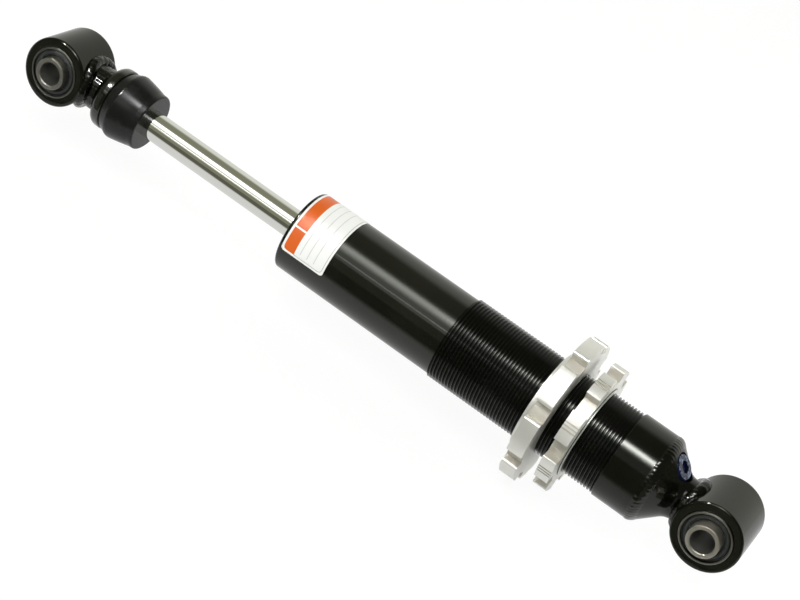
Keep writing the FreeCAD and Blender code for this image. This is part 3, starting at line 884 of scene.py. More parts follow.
@dataclass
class BushedEye:
    """One end's welded eye with its rubber bush, in millimetres."""

    end: End
    palette: Palette
    body: Body
    sleeve_body: Body
    x: float
    stem_side: float
    stem_r: float
    length: float
    sleeve_length: float
    band_length: float
    edge: float
    seed: int
    eye_r: float = 15.1
    bush_r: float = 11.2
    bush_edge: float = 0.6
    band_wall: float = 0.9
    band_edge: float = 0.3
    band_inner_edge: float = 0.2
    groove_depth: float = 1.5
    sleeve_r: float = 7.0
    sleeve_edge: float = 0.45
    sleeve_gap: float = 0.05
    bore_r: float = 5.1
    chamfer: float = 0.4
    chamfer_rise: float = 0.3
    bead_r: float = 2.8
    bead_sides: int = 20
    bead_steps: int = 200
    bead_share: float = 0.94
    bead_swell: float = 0.035
    bead_lift: float = 0.2
    bead_sink: float = 0.1
    ripples: int = 22

    def build(self) -> None:
        """Makes every piece of this end."""
        self.eye()
        self.band()
        self.rubber()
        self.sleeve()
        self.bead()

    def named(self, words: str) -> str:
        """The name of a piece or node of this end."""
        return f"{self.end.value}_{words}"

    def settle(self, piece: Workpiece, body: Body, slot: str, node: str, *finishes: str) -> None:
        """Lays a piece that was turned about x = 0 along the eye's bore, and places it."""
        piece.lay(Matrix.Translation((self.x, 0.0, 0.0)) @ Matrix.Rotation(QUARTER, 4, "Z"))
        piece.place(body, slot, self.named(node), *(self.palette[name] for name in finishes))

    def eye(self) -> None:
        """Eye tube with rounded outer edges."""
        corners = ring_profile(self.length, (self.bush_r, self.bush_edge), (self.eye_r, self.edge))
        piece = Workpiece(self.named("eye_tube")).turn(corners)
        self.settle(piece, self.body, "black_paint", "eye", "eye_black")

    def band(self) -> None:
        """Thin outer sleeve of the bush."""
        inner = (self.bush_r - self.band_wall, self.band_inner_edge)
        corners = ring_profile(self.band_length, inner, (self.bush_r, self.band_edge))
        piece = Workpiece(self.named("bush_band")).turn(corners)
        self.settle(piece, self.body, "bush_steel", "bush_outer_sleeve", self.named("band"))

    def rubber(self) -> None:
        """Rubber with a crowned face and a groove beside each sleeve."""
        half = self.length / 2
        floor = half - self.groove_depth
        inner = self.sleeve_r + self.sleeve_gap
        outer = self.bush_r - self.band_wall
        face = (Corner(floor, inner), Corner(floor, inner + 0.5, 0.2), Corner(half - 0.2, inner + 1.0, 0.4),
                Corner(half - 0.3, outer - 0.9, 0.4), Corner(floor, outer - 0.45, 0.2),
                Corner(half - 1.3, outer))
        other = tuple(Corner(-c.x, c.r, c.round) for c in reversed(face))
        piece = Workpiece(self.named("bush_moulding")).turn(face + other)
        self.settle(piece, self.body, "bush_rubber", "bush_rubber", "bush_rubber")

    def sleeve(self) -> None:
        """Inner sleeve with a chamfered bore, darkened inside as painted shade."""
        half = self.sleeve_length / 2
        mouth_r = self.bore_r + self.chamfer_rise
        corners = (Corner(self.chamfer - half, self.bore_r), Corner(half - self.chamfer, self.bore_r),
                   Corner(half, mouth_r, 0.1), Corner(half, self.sleeve_r, self.sleeve_edge),
                   Corner(-half, self.sleeve_r, self.sleeve_edge), Corner(-half, mouth_r, 0.1))
        piece = Workpiece(self.named("bush_sleeve_turned")).turn(corners)
        # The bore's faces get a dark finish: painted shade down the bore.
        piece.mark(lambda face: radius_of(face.calc_center_median()) < self.bore_r + SKIN)
        self.settle(piece, self.sleeve_body, "zinc_steel", "bush_inner_sleeve", self.named("zinc"),
                    "sleeve_bore_painted_shade")

    def bead(self) -> None:
        """Rippled weld bead that follows the saddle between eye and stem."""
        draw = random.Random(self.seed)
        phases = [draw.uniform(0.0, TURN) for _ in range(4)]
        centre_r = self.stem_r + self.bead_sink
        piece = Workpiece(self.named("eye_bead"))
        upright = Matrix.Translation((0.0, 0.0, centre_r)) @ Matrix.Rotation(QUARTER, 4, "X")
        bmesh.ops.create_circle(piece.bm, segments=self.bead_sides, radius=self.bead_r, matrix=upright)
        bmesh.ops.spin(piece.bm, geom=piece.geometry(), cent=CENTRE, axis=ALONG, angle=TURN,
                       steps=self.bead_steps, use_merge=True)
        piece.clean()

        def saddle(place: Vector) -> Vector:
            """Swells the section into ripples and sets it on the eye.

            Args:
                place: A place on the plain bead.

            Returns:
                Where it goes.
            """
            radius = radius_of(place)
            angle = angle_of(place)
            wander = math.sin(3 * angle + phases[0]) + math.sin(5 * angle + phases[1])
            crest = abs(math.sin(self.ripples * angle / 2 + 0.6 * math.sin(2 * angle + phases[2])))
            swell = self.bead_share + self.bead_swell * crest + self.bead_swell * wander
            lift = self.bead_lift * math.sin(2 * angle + phases[3])
            reach = math.sqrt(max(0.0, self.eye_r ** 2 - (centre_r * place.z / radius) ** 2))
            moved = at_radius(place, centre_r + (radius - centre_r) * swell)
            moved.x = self.x + self.stem_side * (reach - self.bead_sink + lift + place.x * swell)
            return moved

        piece.relief(saddle)
        piece.clean()
        piece.place(self.body, "weld_paint", self.named("eye_weld"), self.palette["weld_black"])


@dataclass
class RodEnd:
    """Boss, retainer, bump stop and rod, in millimetres."""

    palette: Palette
    boss_r: float = BOSS_R
    boss_segments: int = 216
    rod_r: float = 6.25
    rod_edge: float = 0.3
    tail_r: float = 4.0
    spigot_r: float = 5.0
    cup_r: float = 14.3
    cup_wall: float = 1.8
    cup_bend: float = 3.2
    flare: float = 1.8
    flare_rows: int = 6
    run_height: float = 0.4
    run_sink: float = 0.1
    run_reach: float = 1.8
    stop_fit: float = 0.03
    stop_neck_r: float = 10.5
    stop_rim_r: float = 13.6
    stop_wide_r: float = 15.5
    stop_nose_r: float = 13.15
    stop_rise: float = 4.5
    seed: int = 5

    def build(self) -> None:
        """Makes every piece of the rod end."""
        self.boss()
        self.retainer()
        self.bump_stop()
        self.rod()

    def boss(self) -> None:
        """Boss with the run-out of the weld on it."""
        start, end = span("upper_eye_boss")
        shares = [i / self.flare_rows for i in range(self.flare_rows + 1)]
        flare = [Corner(end - self.flare * t, self.boss_r + self.flare * (1 - t) ** 2) for t in shares]
        corners = (Corner(start, self.spigot_r), Corner(end, self.spigot_r), *flare,
                   Corner(start, self.boss_r))
        piece = Workpiece("rod_boss").turn(corners, self.boss_segments)
        phase = random.Random(self.seed).uniform(0.0, TURN)

        def run(place: Vector) -> Vector:
            """Swells the flare into the runs of the weld at the retainer.

            Args:
                place: A place on the turned boss.

            Returns:
                Where it goes.
            """
            radius = radius_of(place)
            if radius < self.boss_r - SKIN:
                return place
            angle = angle_of(place)
            near = max(0.0, 1.0 - (end - place.x) / (self.run_reach * self.flare))
            wave = abs(math.sin(11 * angle + phase + 0.6 * math.sin(3 * angle)))
            return at_radius(place, radius + near * (self.run_height * wave - self.run_sink))

        piece.relief(run)
        piece.place(Body.ROD, "black_paint", "upper_eye_boss", self.palette["weld_black"])

    def retainer(self) -> None:
        """Dished retainer with a rolled bend."""
        start, rim = span("bump_stop_retainer")
        inside = self.cup_r - self.cup_wall
        corners = (Corner(start, self.spigot_r), Corner(start, self.cup_r, self.cup_bend),
                   Corner(rim, self.cup_r, 0.6), Corner(rim, inside, 0.4),
                   Corner(start + self.cup_wall, inside, self.cup_bend - self.cup_wall),
                   Corner(start + self.cup_wall, self.spigot_r))
        piece = Workpiece("retainer_cup").turn(corners)
        piece.place(Body.ROD, "black_paint", "bump_stop_retainer", self.palette["gloss_black"])

    def bump_stop(self) -> None:
        """Bump stop with a soft shoulder and a slightly bowed taper."""
        start, end = span("bump_stop")
        rim = span("bump_stop_retainer")[1]
        wide = rim + self.stop_rise
        bore_r = self.rod_r + self.stop_fit
        corners = (Corner(start, bore_r), Corner(start, self.stop_neck_r), Corner(rim, self.stop_neck_r),
                   Corner(rim, self.stop_rim_r, 0.3), Corner(rim + 2.7, 14.6),
                   Corner(wide, self.stop_wide_r, 0.9), Corner(wide + 5.6, 14.65, 6.0),
                   Corner(end - 2.6, 13.3), Corner(end, self.stop_nose_r, 0.8), Corner(end, bore_r))
        piece = Workpiece("bump_stop_moulded").turn(corners)
        piece.place(Body.ROD, "bump_rubber", "bump_stop", self.palette["bump_rubber"])

    def rod(self) -> None:
        """Polished rod with its spigots."""
        start, end = span("rod")
        shoulder = span("piston_stop_washer")[0]
        upper = span("bump_stop")[0]
        corners = (Corner(start, 0.0), Corner(start, self.spigot_r), Corner(upper, self.spigot_r),
                   Corner(upper, self.rod_r, self.rod_edge), Corner(shoulder, self.rod_r, self.rod_edge),
                   Corner(shoulder, self.tail_r), Corner(end, self.tail_r, 0.6), Corner(end, 0.0))
        piece = Workpiece("rod_polished").turn(corners, FINE_SEGMENTS)
        piece.place(Body.ROD, "chrome", "rod", self.palette["chrome"])


@dataclass
class DamperTube:
    """Barrel, thread and label of the damper tube, in millimetres and degrees."""

    palette: Palette
    bore_r: float = 15.0
    mouth_edge: float = 0.4
    barrel_r: float = 18.2
    barrel_edge: float = 1.1
    crest_r: float = 19.0
    root_r: float = 18.09
    core_r: float = 17.7
    end_r: float = TUBE_END_R
    thread_length: float = 81.8
    thread_steps: int = 120
    end_length: float = 17.8
    pitch: float = 1.5
    crest_share: float = 0.23
    flank_share: float = 0.36
    weld_half: float = 2.4
    weld_depth: float = CAP_WELD_DEPTH
    label_lift: float = 0.02
    label_thickness: float = 0.08
    label_corner: float = 1.4
    label_strips: int = 72
    label_sweep: float = 173.0
    label_clock: float = 14.0

    def build(self) -> None:
        """Makes every piece of the tube."""
        self.tube()
        self.thread()
        self.label()

    def thread_span(self) -> Pair:
        """Where the thread starts and ends."""
        end = span("damper_tube")[1] - self.end_length
        return end - self.thread_length, end

    def tube(self) -> None:
        """Barrel with a rounded mouth, a core under the thread and the plain end."""
        top, end = span("damper_tube")
        first, last = self.thread_span()
        barrel = (Corner(top, self.bore_r, self.mouth_edge), Corner(top, self.barrel_r, self.barrel_edge),
                  Corner(first, self.barrel_r, 0.2), Corner(first, self.core_r), Corner(last, self.core_r),
                  Corner(last, self.bore_r))
        plain_end = (Corner(last, self.bore_r), Corner(last, self.end_r, 0.25),
                     Corner(end - self.weld_half, self.end_r), Corner(end, self.end_r - self.weld_depth),
                     Corner(end, self.bore_r))
        for name, corners, finish in (("tube_barrel", barrel, "barrel_black"),
                                      ("tube_end", plain_end, "end_black")):
            piece = Workpiece(name).turn(corners, FINE_SEGMENTS)
            piece.place(Body.TUBE, "black_paint", "damper_tube", self.palette[finish])

    def thread(self) -> None:
        """Helical thread as a closed sleeve on the core."""
        first, last = self.thread_span()
        turns = math.ceil((last - first) / self.pitch) + 2
        flank = self.pitch * self.flank_share
        crest = self.pitch * self.crest_share
        start = first - self.pitch
        profile = ((0.0, self.root_r), (flank, self.crest_r), (flank + crest, self.crest_r),
                   (2 * flank + crest, self.root_r), (self.pitch, self.root_r))
        piece = Workpiece("tube_thread")
        verts = [piece.bm.verts.new((start + x, 0.0, r)) for x, r in profile]
        edges = [piece.bm.edges.new(pair) for pair in zip(verts, verts[1:])]
        bmesh.ops.spin(piece.bm, geom=[*verts, *edges], cent=CENTRE, axis=ALONG, angle=TURN,
                       steps=self.thread_steps, dvec=(self.pitch / self.thread_steps, 0.0, 0.0))
        one_turn = piece.geometry()
        for i in range(1, turns):
            copy = bmesh.ops.duplicate(piece.bm, geom=one_turn)["geom"]
            moved = [g for g in copy if isinstance(g, Vert)]
            bmesh.ops.translate(piece.bm, vec=(i * self.pitch, 0.0, 0.0), verts=moved)
        piece.merge()
        piece.cut(first, clear_inner=True)
        piece.cut(last, clear_outer=True)
        loops = []
        for x in (first, last):
            open_edges = [e for e in piece.bm.edges if e.is_boundary]
            rim = [e for e in open_edges if all(abs(v.co.x - x) < NEAR for v in e.verts)]
            loops.extend(piece.draw(rim, x, self.core_r))
        bmesh.ops.bridge_loops(piece.bm, edges=loops)
        piece.face_out()
        piece.place(Body.TUBE, "black_paint", "damper_tube", self.palette["thread_black"])

    def label(self) -> None:
        """Label bent round the barrel, with rounded corners and its print laid out flat."""
        start, end = span("barrel_label")
        height = end - start
        sweep = math.radians(self.label_sweep)
        width = sweep * self.barrel_r
        piece = Workpiece("tube_label")
        bmesh.ops.create_grid(piece.bm, x_segments=1, y_segments=1, size=0.5)
        bmesh.ops.scale(piece.bm, vec=(width, height, 1.0), verts=piece.bm.verts[:])
        bmesh.ops.bevel(piece.bm, geom=piece.bm.verts[:], offset=self.label_corner, offset_type="OFFSET",
                        affect="VERTICES", segments=5, profile=0.5, material=-1)
        for i in range(1, self.label_strips):
            piece.cut(width * (i / self.label_strips - 0.5))
        layer = piece.bm.loops.layers.uv.new("print")
        for face in piece.bm.faces:
            for loop in face.loops:
                loop[layer].uv = (0.5 - loop.vert.co.x / width, 0.5 + loop.vert.co.y / height)
        bmesh.ops.solidify(piece.bm, geom=piece.bm.faces[:], thickness=self.label_thickness)

        def bend(place: Vector) -> Vector:
            """Wraps the flat label onto the barrel.

            Args:
                place: A place on the flat label.

            Returns:
                Where it goes.
            """
            angle = math.radians(self.label_clock) + sweep / 2 + place.x / self.barrel_r
            radius = self.barrel_r + self.label_lift + abs(place.z)
            along = (start + end) / 2 + place.y
            return Vector((along, radius * math.cos(angle), radius * math.sin(angle)))

        piece.relief(bend)
        piece.face_out()
        finish = self.palette.add(PrintedLabel("label_print", width, height))
        piece.place(Body.TUBE, "label_white", "barrel_label", finish)


@dataclass
class EndSection:
    """Weld between tube and end cap, the cap and its fill screw, in millimetres and degrees."""

    palette: Palette
    end_r: float = TUBE_END_R
    cone_r: float = 17.4
    neck_r: float = NECK_R
    cone_length: float = 8.4
    weld_depth: float = CAP_WELD_DEPTH
    weld_rows: int = 12
    crown: float = 0.85
    ripple: float = 0.14
    ripple_slant: float = 1.3
    ripple_mean: float = 0.6
    ripples: int = 60
    ripple_steps: int = 6
    fill_clock: float = 95.0
    fill_reach: float = 6.2

    def build(self) -> None:
        """Makes the weld and dresses the cap."""
        self.weld()
        dress("end_cap", self.palette["end_black"])
        dress("gas_fill_screw", self.palette.add(self.lacquer()))
        dress("gas_fill_seal", self.palette["seal_rubber"])

    def lacquer(self) -> SealingLacquer:
        """Lacquer that knows where the fill screw's face lies on the cone.

        Returns:
            The lacquer.
        """
        slope = Vector((self.cone_length, self.neck_r - self.cone_r))
        reach = self.fill_reach * slope.normalized()
        turn = math.radians(self.fill_clock)
        x = span("end_cap_weld")[1] + reach.x
        r = self.cone_r + reach.y
        out = Vector((-slope.y, slope.x)).normalized()
        centre = (x * MM, r * math.cos(turn) * MM, r * math.sin(turn) * MM)
        axis = (out.x, out.y * math.cos(turn), out.y * math.sin(turn))
        return SealingLacquer("screw_lacquer", colour=(0.003, 0.005, 0.02, 1.0), worn=(0.1, 0.13, 0.2, 1.0),
                              centre=centre, axis=axis)

    def crown_r(self, across: float) -> float:
        """Radius of the weld's crown, from -1 at the tube to 1 at the cone."""
        chord = self.end_r + (self.cone_r - self.end_r) * (across + 1) / 2
        return chord + self.crown * (1 - across * across)

    def weld(self) -> None:
        """Rippled weld round the end of the tube."""
        start, end = span("end_cap_weld")
        middle = (start + end) / 2
        half = (end - start) / 2
        rows = [2 * i / self.weld_rows - 1.0 for i in range(self.weld_rows + 1)]
        crown = [Corner(middle + half * t, self.crown_r(t)) for t in rows]
        corners = [Corner(middle, self.end_r - self.weld_depth), *crown]
        piece = Workpiece("cap_weld_ripples").turn(corners, self.ripples * self.ripple_steps)

        def raise_ripple(place: Vector) -> Vector:
            """Raises the crown in slanted ripples.

            Args:
                place: A place on the turned weld.

            Returns:
                Where it goes.
            """
            radius = radius_of(place)
            across = (place.x - middle) / half
            if radius < self.crown_r(across) - SKIN:
                return place
            angle = angle_of(place)
            slant = self.ripple_slant * across
            wave = abs(math.sin(self.ripples * angle / 2 + slant + 0.5 * math.sin(7 * angle)))
            return at_radius(place, radius + (1.0 - across ** 4) * self.ripple * (wave - self.ripple_mean))

        piece.relief(raise_ripple)
        piece.place(Body.TUBE, "weld_paint", "end_cap_weld", self.palette["rim_weld_black"])


@dataclass
class RingNut:
    """A notched ring nut on the thread, in millimetres and degrees."""

    palette: Palette
    node: str
    body: Body
    arcs: tuple[Arc, ...]
    clock: float
    thickness: float
    hub_r: float
    hub_above: bool
    edge: float
    lip: float
    bore_r: float = 19.1
    repeats: int = 8
    groove_zone: float = 4.0
    groove_start: float = 0.08
    hub_land: float = 1.0
    rim_land: float = 1.2
    end_face: float = 0.5
    root: float = 0.42
    sharp: float = 40.0
    edge_steps: int = 2
    lip_steps: int = 5

    @property
    def rim_r(self) -> float:
        """Radius of the rim."""
        return self.arcs[0].r

    def runs_along(self, edge: Edge) -> bool:
        """Whether an edge runs along the axis."""
        return abs(edge.verts[0].co.x - edge.verts[1].co.x) > NEAR

    def is_groove(self, edge: Edge) -> bool:
        """Whether an edge runs along the axis at the rim, as the sides of a grip groove do."""
        high = all(radius_of(v.co) > self.rim_r - 2 * self.lip for v in edge.verts)
        return high and self.runs_along(edge)

    def is_recess_painted_shade(self, face: Face) -> bool:
        """Whether a face lines a notch, or a grip groove at the middle of a lobe; these faces get a rougher
        milled finish whose darker, warmer tone paints the shade in the recesses.

        Args:
            face: A face of the nut.

        Returns:
            True where it does.
        """
        middle = face.calc_center_median()
        radius = radius_of(middle)
        if abs(face.normal.x) > self.end_face:
            return False
        if self.hub_r + self.hub_land < radius < self.rim_r - self.rim_land * self.lip:
            return True
        pitch = 360.0 / self.repeats
        lobe = (pitch - self.arcs[-1].sweep) / 2
        off = abs(math.degrees(angle_of(middle)) % pitch - lobe)
        return off < self.groove_zone and self.groove_start < self.rim_r - radius < 2 * self.lip

    def in_root_painted_shade(self, face: Face, hub_face: float) -> bool:
        """Whether a face lies at the root of the hub, on the nut's face at that place, where a near-black
        finish paints the shade in the corner.
        """
        middle = face.calc_center_median()
        return max(abs(radius_of(middle) - self.hub_r), abs(middle.x - hub_face)) < self.root

    def is_lip(self, edge: Edge) -> bool:
        """Whether an edge lies where a notch wall meets the rim.

        Args:
            edge: An edge of the nut.

        Returns:
            True where it does.
        """
        on_rim = all(abs(radius_of(v.co) - self.rim_r) < NEAR for v in edge.verts)
        ends = [v for f in edge.link_faces for v in f.verts]
        deep = any(radius_of(v.co) < self.rim_r - self.lip - NEAR for v in ends)
        return on_rim and deep and self.runs_along(edge)

    def build(self) -> None:
        """Makes the nut."""
        start, end = span(self.node)
        hub_face, far_face, hub_end = start + self.thickness, start, end
        if self.hub_above:
            hub_face, far_face, hub_end = end - self.thickness, end, start
        piece = Workpiece(f"{self.node}_turned")
        rim = piece.outline(hub_face, self.arcs, self.repeats)
        step = piece.draw(rim, hub_face, self.hub_r)
        root = piece.draw(step, hub_face + math.copysign(self.root, hub_end - hub_face), self.hub_r)
        hub = piece.draw(root, hub_end, self.hub_r)
        mouth = piece.draw(hub, hub_end, self.bore_r)
        far_rim = piece.draw(rim, far_face)
        far_mouth = piece.draw(far_rim, far_face, self.bore_r)
        bmesh.ops.bridge_loops(piece.bm, edges=[*mouth, *far_mouth])
        piece.clean()
        piece.bevel([e for e in piece.bm.edges if self.is_lip(e)], self.lip, self.lip_steps)
        sharp = [e for e in piece.sharp_edges(math.radians(self.sharp)) if not self.is_groove(e)]
        piece.bevel(sharp, self.edge, self.edge_steps)
        # Notch and grip-groove faces get the rougher, darker recess finish: painted shade in the recesses.
        piece.mark(self.is_recess_painted_shade)
        # The lock ring's faces at the root of its hub get a near-black finish: painted shade in that corner.
        if not self.hub_above:
            piece.mark(lambda face: self.in_root_painted_shade(face, hub_face), 2)
        piece.lay(Matrix.Rotation(math.radians(self.clock), 4, "X"))
        finishes = [self.palette[name] for name in ("ring_bright", "ring_recess_painted_shade", "ring_root_painted_shade")]
        piece.place(self.body, "ring_metal", self.node, *finishes)


def gripped_lobe(rim_r: float, floor_r: float, sweep: float, groove: float, land: float) -> tuple[Arc, ...]:
    """Outline of a lobe with three grip grooves across its middle.

    Args:
        rim_r: Radius of the rim.
        floor_r: Radius of the grooves' floors.
        sweep: The lobe's sweep in degrees.
        groove: A groove's sweep in degrees.
        land: Sweep between two grooves in degrees.

    Returns:
        The lobe's arcs in order.
    """
    plain = Arc(rim_r, (sweep - 3 * groove - 2 * land) / 2, 5)
    between = Arc(rim_r, land, 2)
    cut = Arc(floor_r, groove, 1)
    return plain, cut, between, cut, between, cut, plain


def dress(node: str, material: bpy.types.Material) -> None:
    """Gives a CAD node a finish.

    Args:
        node: Name of the CAD node.
        material: Its finish.
    """
    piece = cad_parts[node]
    piece.data.materials.clear()
    piece.data.materials.append(material)
    LOG.info("%s dressed in %s", node, material.name)


INSIDE = {
    "dust_cap": "cap_plastic",
    "seal_head_circlip": "spring_steel",
    "rod_dust_wiper": "seal_rubber",
    "seal_head": "turned_aluminium",
    "seal_head_o_ring": "seal_rubber",
    "rod_guide_bush": "bronze",
    "rod_oil_seal": "seal_rubber",
    "top_out_bumper": "bump_rubber",
    "piston_stop_washer": "turned_steel",
    "compression_shims": "spring_steel",
    "piston": "turned_aluminium",
    "piston_band": "band_plastic",
    "rebound_shims": "spring_steel",
    "piston_nut": "turned_steel",
    "floating_piston": "turned_aluminium",
    "floating_piston_o_ring": "seal_rubber",
}


@dataclass(frozen=True)
class Softbox:
    """A glowing panel with soft edges, in metres."""

    name: str
    centre: Point
    aim: Point
    width: float
    length: float
    strength: float
    soft: float
    tint: Colour = WHITE

    def fade(self, place: Flow) -> Flow:
        """Fades out towards the two edges at -0.5 and 0.5."""
        return (0.5 - abs(place)).ease(0.0, self.soft)

    def glow(self, x: Flow, y: Flow) -> Flow:
        """Strength of the glow at a place on the panel, from -0.5 to 0.5 along and across it."""
        return self.fade(x) * self.fade(y) * self.strength

    def skin(self, graph: Graph, glow: Flow) -> Flow:
        """The panel's shader: the glow alone, which hides what is behind it."""
        return glow

    def show(self, panel: bpy.types.Object) -> None:
        """Keeps a fill panel out of reflections."""
        panel.visible_glossy = False

    def build(self) -> None:
        """Hangs the panel and hides it from the camera."""
        panel = flat_sheet(self.name, 0.5)
        back = (Vector(self.centre) - Vector(self.aim)).normalized()
        side = (Vector(ALONG) - back * back.x).normalized()
        turned = Matrix((side, back.cross(side), back)).transposed().to_4x4()
        size = Matrix.Diagonal((self.length, self.width, 1.0, 1.0))
        panel.matrix_world = Matrix.Translation(self.centre) @ turned @ size
        panel.visible_camera = False
        panel.visible_shadow = False
        self.show(panel)
        material = bpy.data.materials.new(self.name)
        graph = Graph(material)
        x, y, _ = graph.split(graph.place())
        glow = graph.node("ShaderNodeEmission", inputs={"Color": self.tint, "Strength": self.glow(x, y)})
        graph.end(self.skin(graph, glow))
        panel.data.materials.append(material)


@dataclass(frozen=True)
class Flag(Softbox):
    """A panel that only shows in reflections, where a dim one keeps the bright floor out."""

    def show(self, panel: bpy.types.Object) -> None:
        """Keeps the panel to reflections."""
        panel.visible_diffuse = False


@dataclass(frozen=True)
class LightBank(Flag):
    """A bank of light in reflections, with a bright core that is hottest over the thread.

    Pairs named rise and fall are elevations in degrees, seen from the shock. Pairs named zone are
    places along the shock, in metres, between which something eases in or out.
    """

    core: float = 3.8
    hot: float = 26.0
    line: float = 2.6
    line_at: float = 31.0
    line_half: float = 0.016
    spot: float = 360.0
    spot_x: float = -0.56
    spot_at: float = 56.0
    spot_r: float = 0.1
    sheet_rise: Pair = (21.0, 24.0)
    sheet_fall: Pair = (60.0, 80.0)
    core_rise: Pair = (41.0, 58.5)
    core_fall: Pair = (58.5, 72.0)
    hot_zone: Pair = (-0.06, 0.19)
    cool_zone: Pair = (0.25, 0.4)
    line_zone: Pair = (0.06, 0.14)
    rod_zone: Pair = (-0.33, -0.12)
    tail_zone: Pair = (-0.1, 0.25)
    rod_share: float = 0.7
    barrel_gain: float = 0.3
    tail_loss: float = 0.75

    def skin(self, graph: Graph, glow: Flow) -> Flow:
        """The glow added to the room behind it."""
        return graph.node("ShaderNodeAddShader", inputs={0: glow, 1: graph.node("ShaderNodeBsdfTransparent")})

    def height(self, elevation: float) -> float:
        """Place across the panel of a direction that is square to the shock.

        Args:
            elevation: The direction in degrees above the floor.

        Returns:
            The place, from -0.5 to 0.5 on the panel.
        """
        _, y, z = Vector(self.centre) - Vector(self.aim)
        tilt = math.atan2(z, -y)
        return math.tan(math.radians(elevation) - tilt) * math.hypot(y, z) / self.width

    def stripe(self, y: Flow, rise: Pair, fall: Pair) -> Flow:
        """Glow that eases in over one pair of elevations and out over another.

        Args:
            y: Place across the panel.
            rise: Elevations between which it eases in.
            fall: Elevations between which it eases out.

        Returns:
            The glow, from 0 to 1.
        """
        start, full, waning, end = (self.height(elevation) for elevation in (*rise, *fall))
        return y.ease(start, full) * (1.0 - y.ease(waning, end))

    def glow(self, x: Flow, y: Flow) -> Flow:
        """Strength of the glow at a place on the panel.

        Args:
            x: Place along the panel, from -0.5 to 0.5.
            y: Place across it, from -0.5 to 0.5.

        Returns:
            The strength there.
        """
        place = x * self.length + self.centre[0]
        share = self.rod_share + place.ease(*self.rod_zone) * self.barrel_gain
        share = share - place.ease(*self.tail_zone) * self.tail_loss
        plain = self.stripe(y, self.sheet_rise, self.sheet_fall) * share * self.strength
        peak = self.stripe(y, self.core_rise, self.core_fall)
        heat = place.ease(*self.hot_zone) * (1.0 - place.ease(*self.cool_zone)) * self.hot
        beside = abs(y - self.height(self.line_at))
        line = (self.line_half - beside).ease(0.0, self.line_half / 2)
        line = line * (1.0 - place.ease(*self.line_zone)) * self.line
        offset = place - self.spot_x
        rise = (y - self.height(self.spot_at)) * self.width
        spot = (self.spot_r ** 2 - offset * offset - rise * rise).ease(0.0, self.spot_r ** 2) * self.spot
        bright = plain + peak * (peak * peak * heat + self.core) + line + spot
        return self.fade(x) * bright


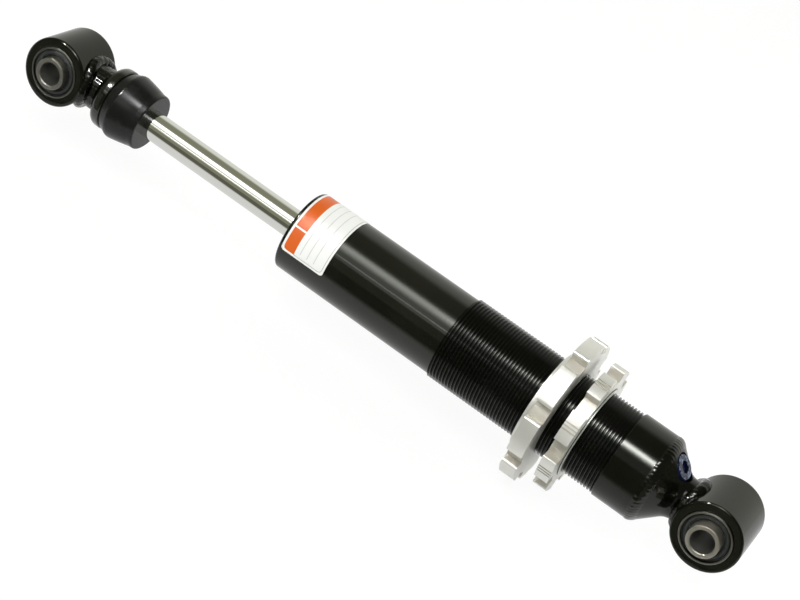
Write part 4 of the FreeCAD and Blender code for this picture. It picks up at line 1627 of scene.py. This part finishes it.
@dataclass
class Studio:
    """Camera, floor, panels and surroundings."""

    camera_at: Point = (0.3609, -0.6909, 0.3979)
    right: Point = (0.79646, 0.44586, 0.40851)
    up: Point = (-0.56202, 0.29647, 0.77217)
    back: Point = (0.22317, -0.84458, 0.48671)
    lens: float = 89.55
    sensor: float = 36.0
    near_clip: float = 0.01
    floor_z: float = -0.0334
    floor_half: float = 6.0
    shadow_share: float = 0.14
    floor_glow: float = 1.05
    mirror_loss: float = 0.25
    floor_fade: Pair = (-0.08, -0.045)
    room_fade: Pair = (-0.25, -0.05)
    sheet_fade: Pair = (0.38, 0.72)
    paper: Colour = (0.92, 0.92, 0.92, 1.0)
    room: Colour = (0.25, 0.255, 0.185, 1.0)
    dusk: Colour = (0.12, 0.122, 0.09, 1.0)
    card: Colour = (1.0, 1.0, 0.82, 1.0)
    sheet: Colour = (0.82, 0.83, 0.76, 1.0)

    def build(self) -> None:
        """Sets the whole studio."""
        self.camera()
        self.floor()
        self.world()
        self.panels()
        bpy.context.scene.view_settings.view_transform = "Standard"

    def panels(self) -> None:
        """Hangs the light bank, the fill panels and a flag before each eye."""
        LightBank("light_bank", (-0.1, -0.671, 0.995), (-0.1, 0.0, 0.0),
                  width=1.76, length=1.5, strength=0.75, soft=0.08).build()
        Softbox("fill_panel", (0.1, -1.2, 1.6), (0.2, 0.0, 0.0),
                width=1.8, length=2.4, strength=3.4, soft=0.2).build()
        Softbox("front_panel", (0.2, -1.5, 0.4), (0.2, 0.0, 0.0),
                width=1.2, length=1.2, strength=2.4, soft=0.2).build()
        Softbox("side_panel", (1.1, 0.3, 0.25), (0.27, 0.0, 0.0),
                width=0.7, length=0.7, strength=9.0, soft=0.2).build()
        for end, x, length in ((End.UPPER, -0.015, 0.06), (End.LOWER, 0.335, 0.05)):
            Flag(f"{end.value}_flag", (x, -0.045, -0.007), (x, 0.0, -0.007),
                 width=0.052, length=length, strength=0.28, soft=0.1, tint=self.card).build()

    def camera(self) -> None:
        """Camera at the photograph's viewing angle."""
        data = bpy.data.cameras.new("camera")
        data.lens = self.lens
        data.sensor_width = self.sensor
        data.sensor_fit = "HORIZONTAL"
        data.clip_start = self.near_clip
        camera = link("camera", data)
        turned = Matrix((self.right, self.up, self.back)).transposed().to_4x4()
        camera.matrix_world = Matrix.Translation(self.camera_at) @ turned
        bpy.context.scene.camera = camera

    def floor(self) -> None:
        """Pale floor that keeps the shadow and shows white to the camera and in reflections."""
        floor = flat_sheet("floor", self.floor_half, self.floor_z)
        material = bpy.data.materials.new("floor_white")
        graph = Graph(material)
        seen = graph.node("ShaderNodeLightPath", output="Is Camera Ray")
        glossy = seen.other("Is Glossy Ray")
        bright = seen.most(glossy).most(seen.other("Is Transmission Ray")) * (1.0 - self.shadow_share)
        _, y, _ = graph.split(graph.place())
        near = glossy * (1.0 - y.ease(*self.floor_fade))
        glow = self.floor_glow - glossy * self.mirror_loss
        paper = graph.node("ShaderNodeBsdfDiffuse", inputs={"Color": self.paper})
        white = graph.node("ShaderNodeEmission", inputs={"Color": WHITE, "Strength": glow})
        room = graph.node("ShaderNodeEmission", inputs={"Color": self.dusk})
        sheet = graph.node("ShaderNodeMixShader", inputs={0: bright, 1: paper, 2: white})
        graph.end(graph.node("ShaderNodeMixShader", inputs={0: near, 1: sheet, 2: room}))
        floor.data.materials.append(material)

    def world(self) -> None:
        """Bright backdrop beyond the shock and a dim warm room on the camera's side."""
        world = bpy.data.worlds.new("studio")
        bpy.context.scene.world = world
        graph = Graph(world)
        x, y, _ = graph.split(graph.node("ShaderNodeTexCoord", output="Generated"))
        room = graph.mix(x.ease(*self.room_fade), self.room, self.dusk)
        colour = graph.mix(y.ease(*self.sheet_fade), room, self.sheet)
        sky = graph.node("ShaderNodeBackground", inputs={"Color": colour, "Strength": 1.0})
        graph.node("ShaderNodeOutputWorld", inputs={"Surface": sky})


def main() -> None:
    """Builds the shock's pieces, the finishes inside and the studio."""
    logging.basicConfig(level=logging.INFO, format="%(name)s: %(message)s")
    palette = Palette()
    upper = BushedEye(End.UPPER, palette, Body.ROD, Body.UPPER_SLEEVE, x=0.0, stem_side=1.0, stem_r=BOSS_R,
                      length=25.4, sleeve_length=31.0, band_length=25.4, edge=1.5, seed=3)
    lower = BushedEye(End.LOWER, palette, Body.TUBE, Body.LOWER_SLEEVE, x=335.0, stem_side=-1.0,
                      stem_r=NECK_R, length=29.4, sleeve_length=38.0, band_length=30.6, edge=1.1, seed=8)
    seat_arcs = (Arc(r=33.0, sweep=32.0, steps=14), Arc(r=29.1, sweep=13.0, steps=5))
    seat = RingNut(palette, "spring_seat_nut", Body.SEAT, seat_arcs, clock=30.4, thickness=7.1, hub_r=22.0,
                   hub_above=True, edge=0.6, lip=1.2)
    lobe = gripped_lobe(rim_r=29.0, floor_r=28.5, sweep=27.5, groove=1.3, land=1.6)
    lock_arcs = (*lobe, Arc(r=24.4, sweep=17.5, steps=6))
    lock = RingNut(palette, "lock_ring", Body.LOCK, lock_arcs, clock=52.15, thickness=6.2, hub_r=21.0,
                   hub_above=False, edge=0.22, lip=0.5)
    for group in (upper, lower, RodEnd(palette), DamperTube(palette), EndSection(palette), seat, lock):
        group.build()
    for node, finish in INSIDE.items():
        dress(node, palette[finish])
    Studio().build()


if __name__ == "__main__":
    main()
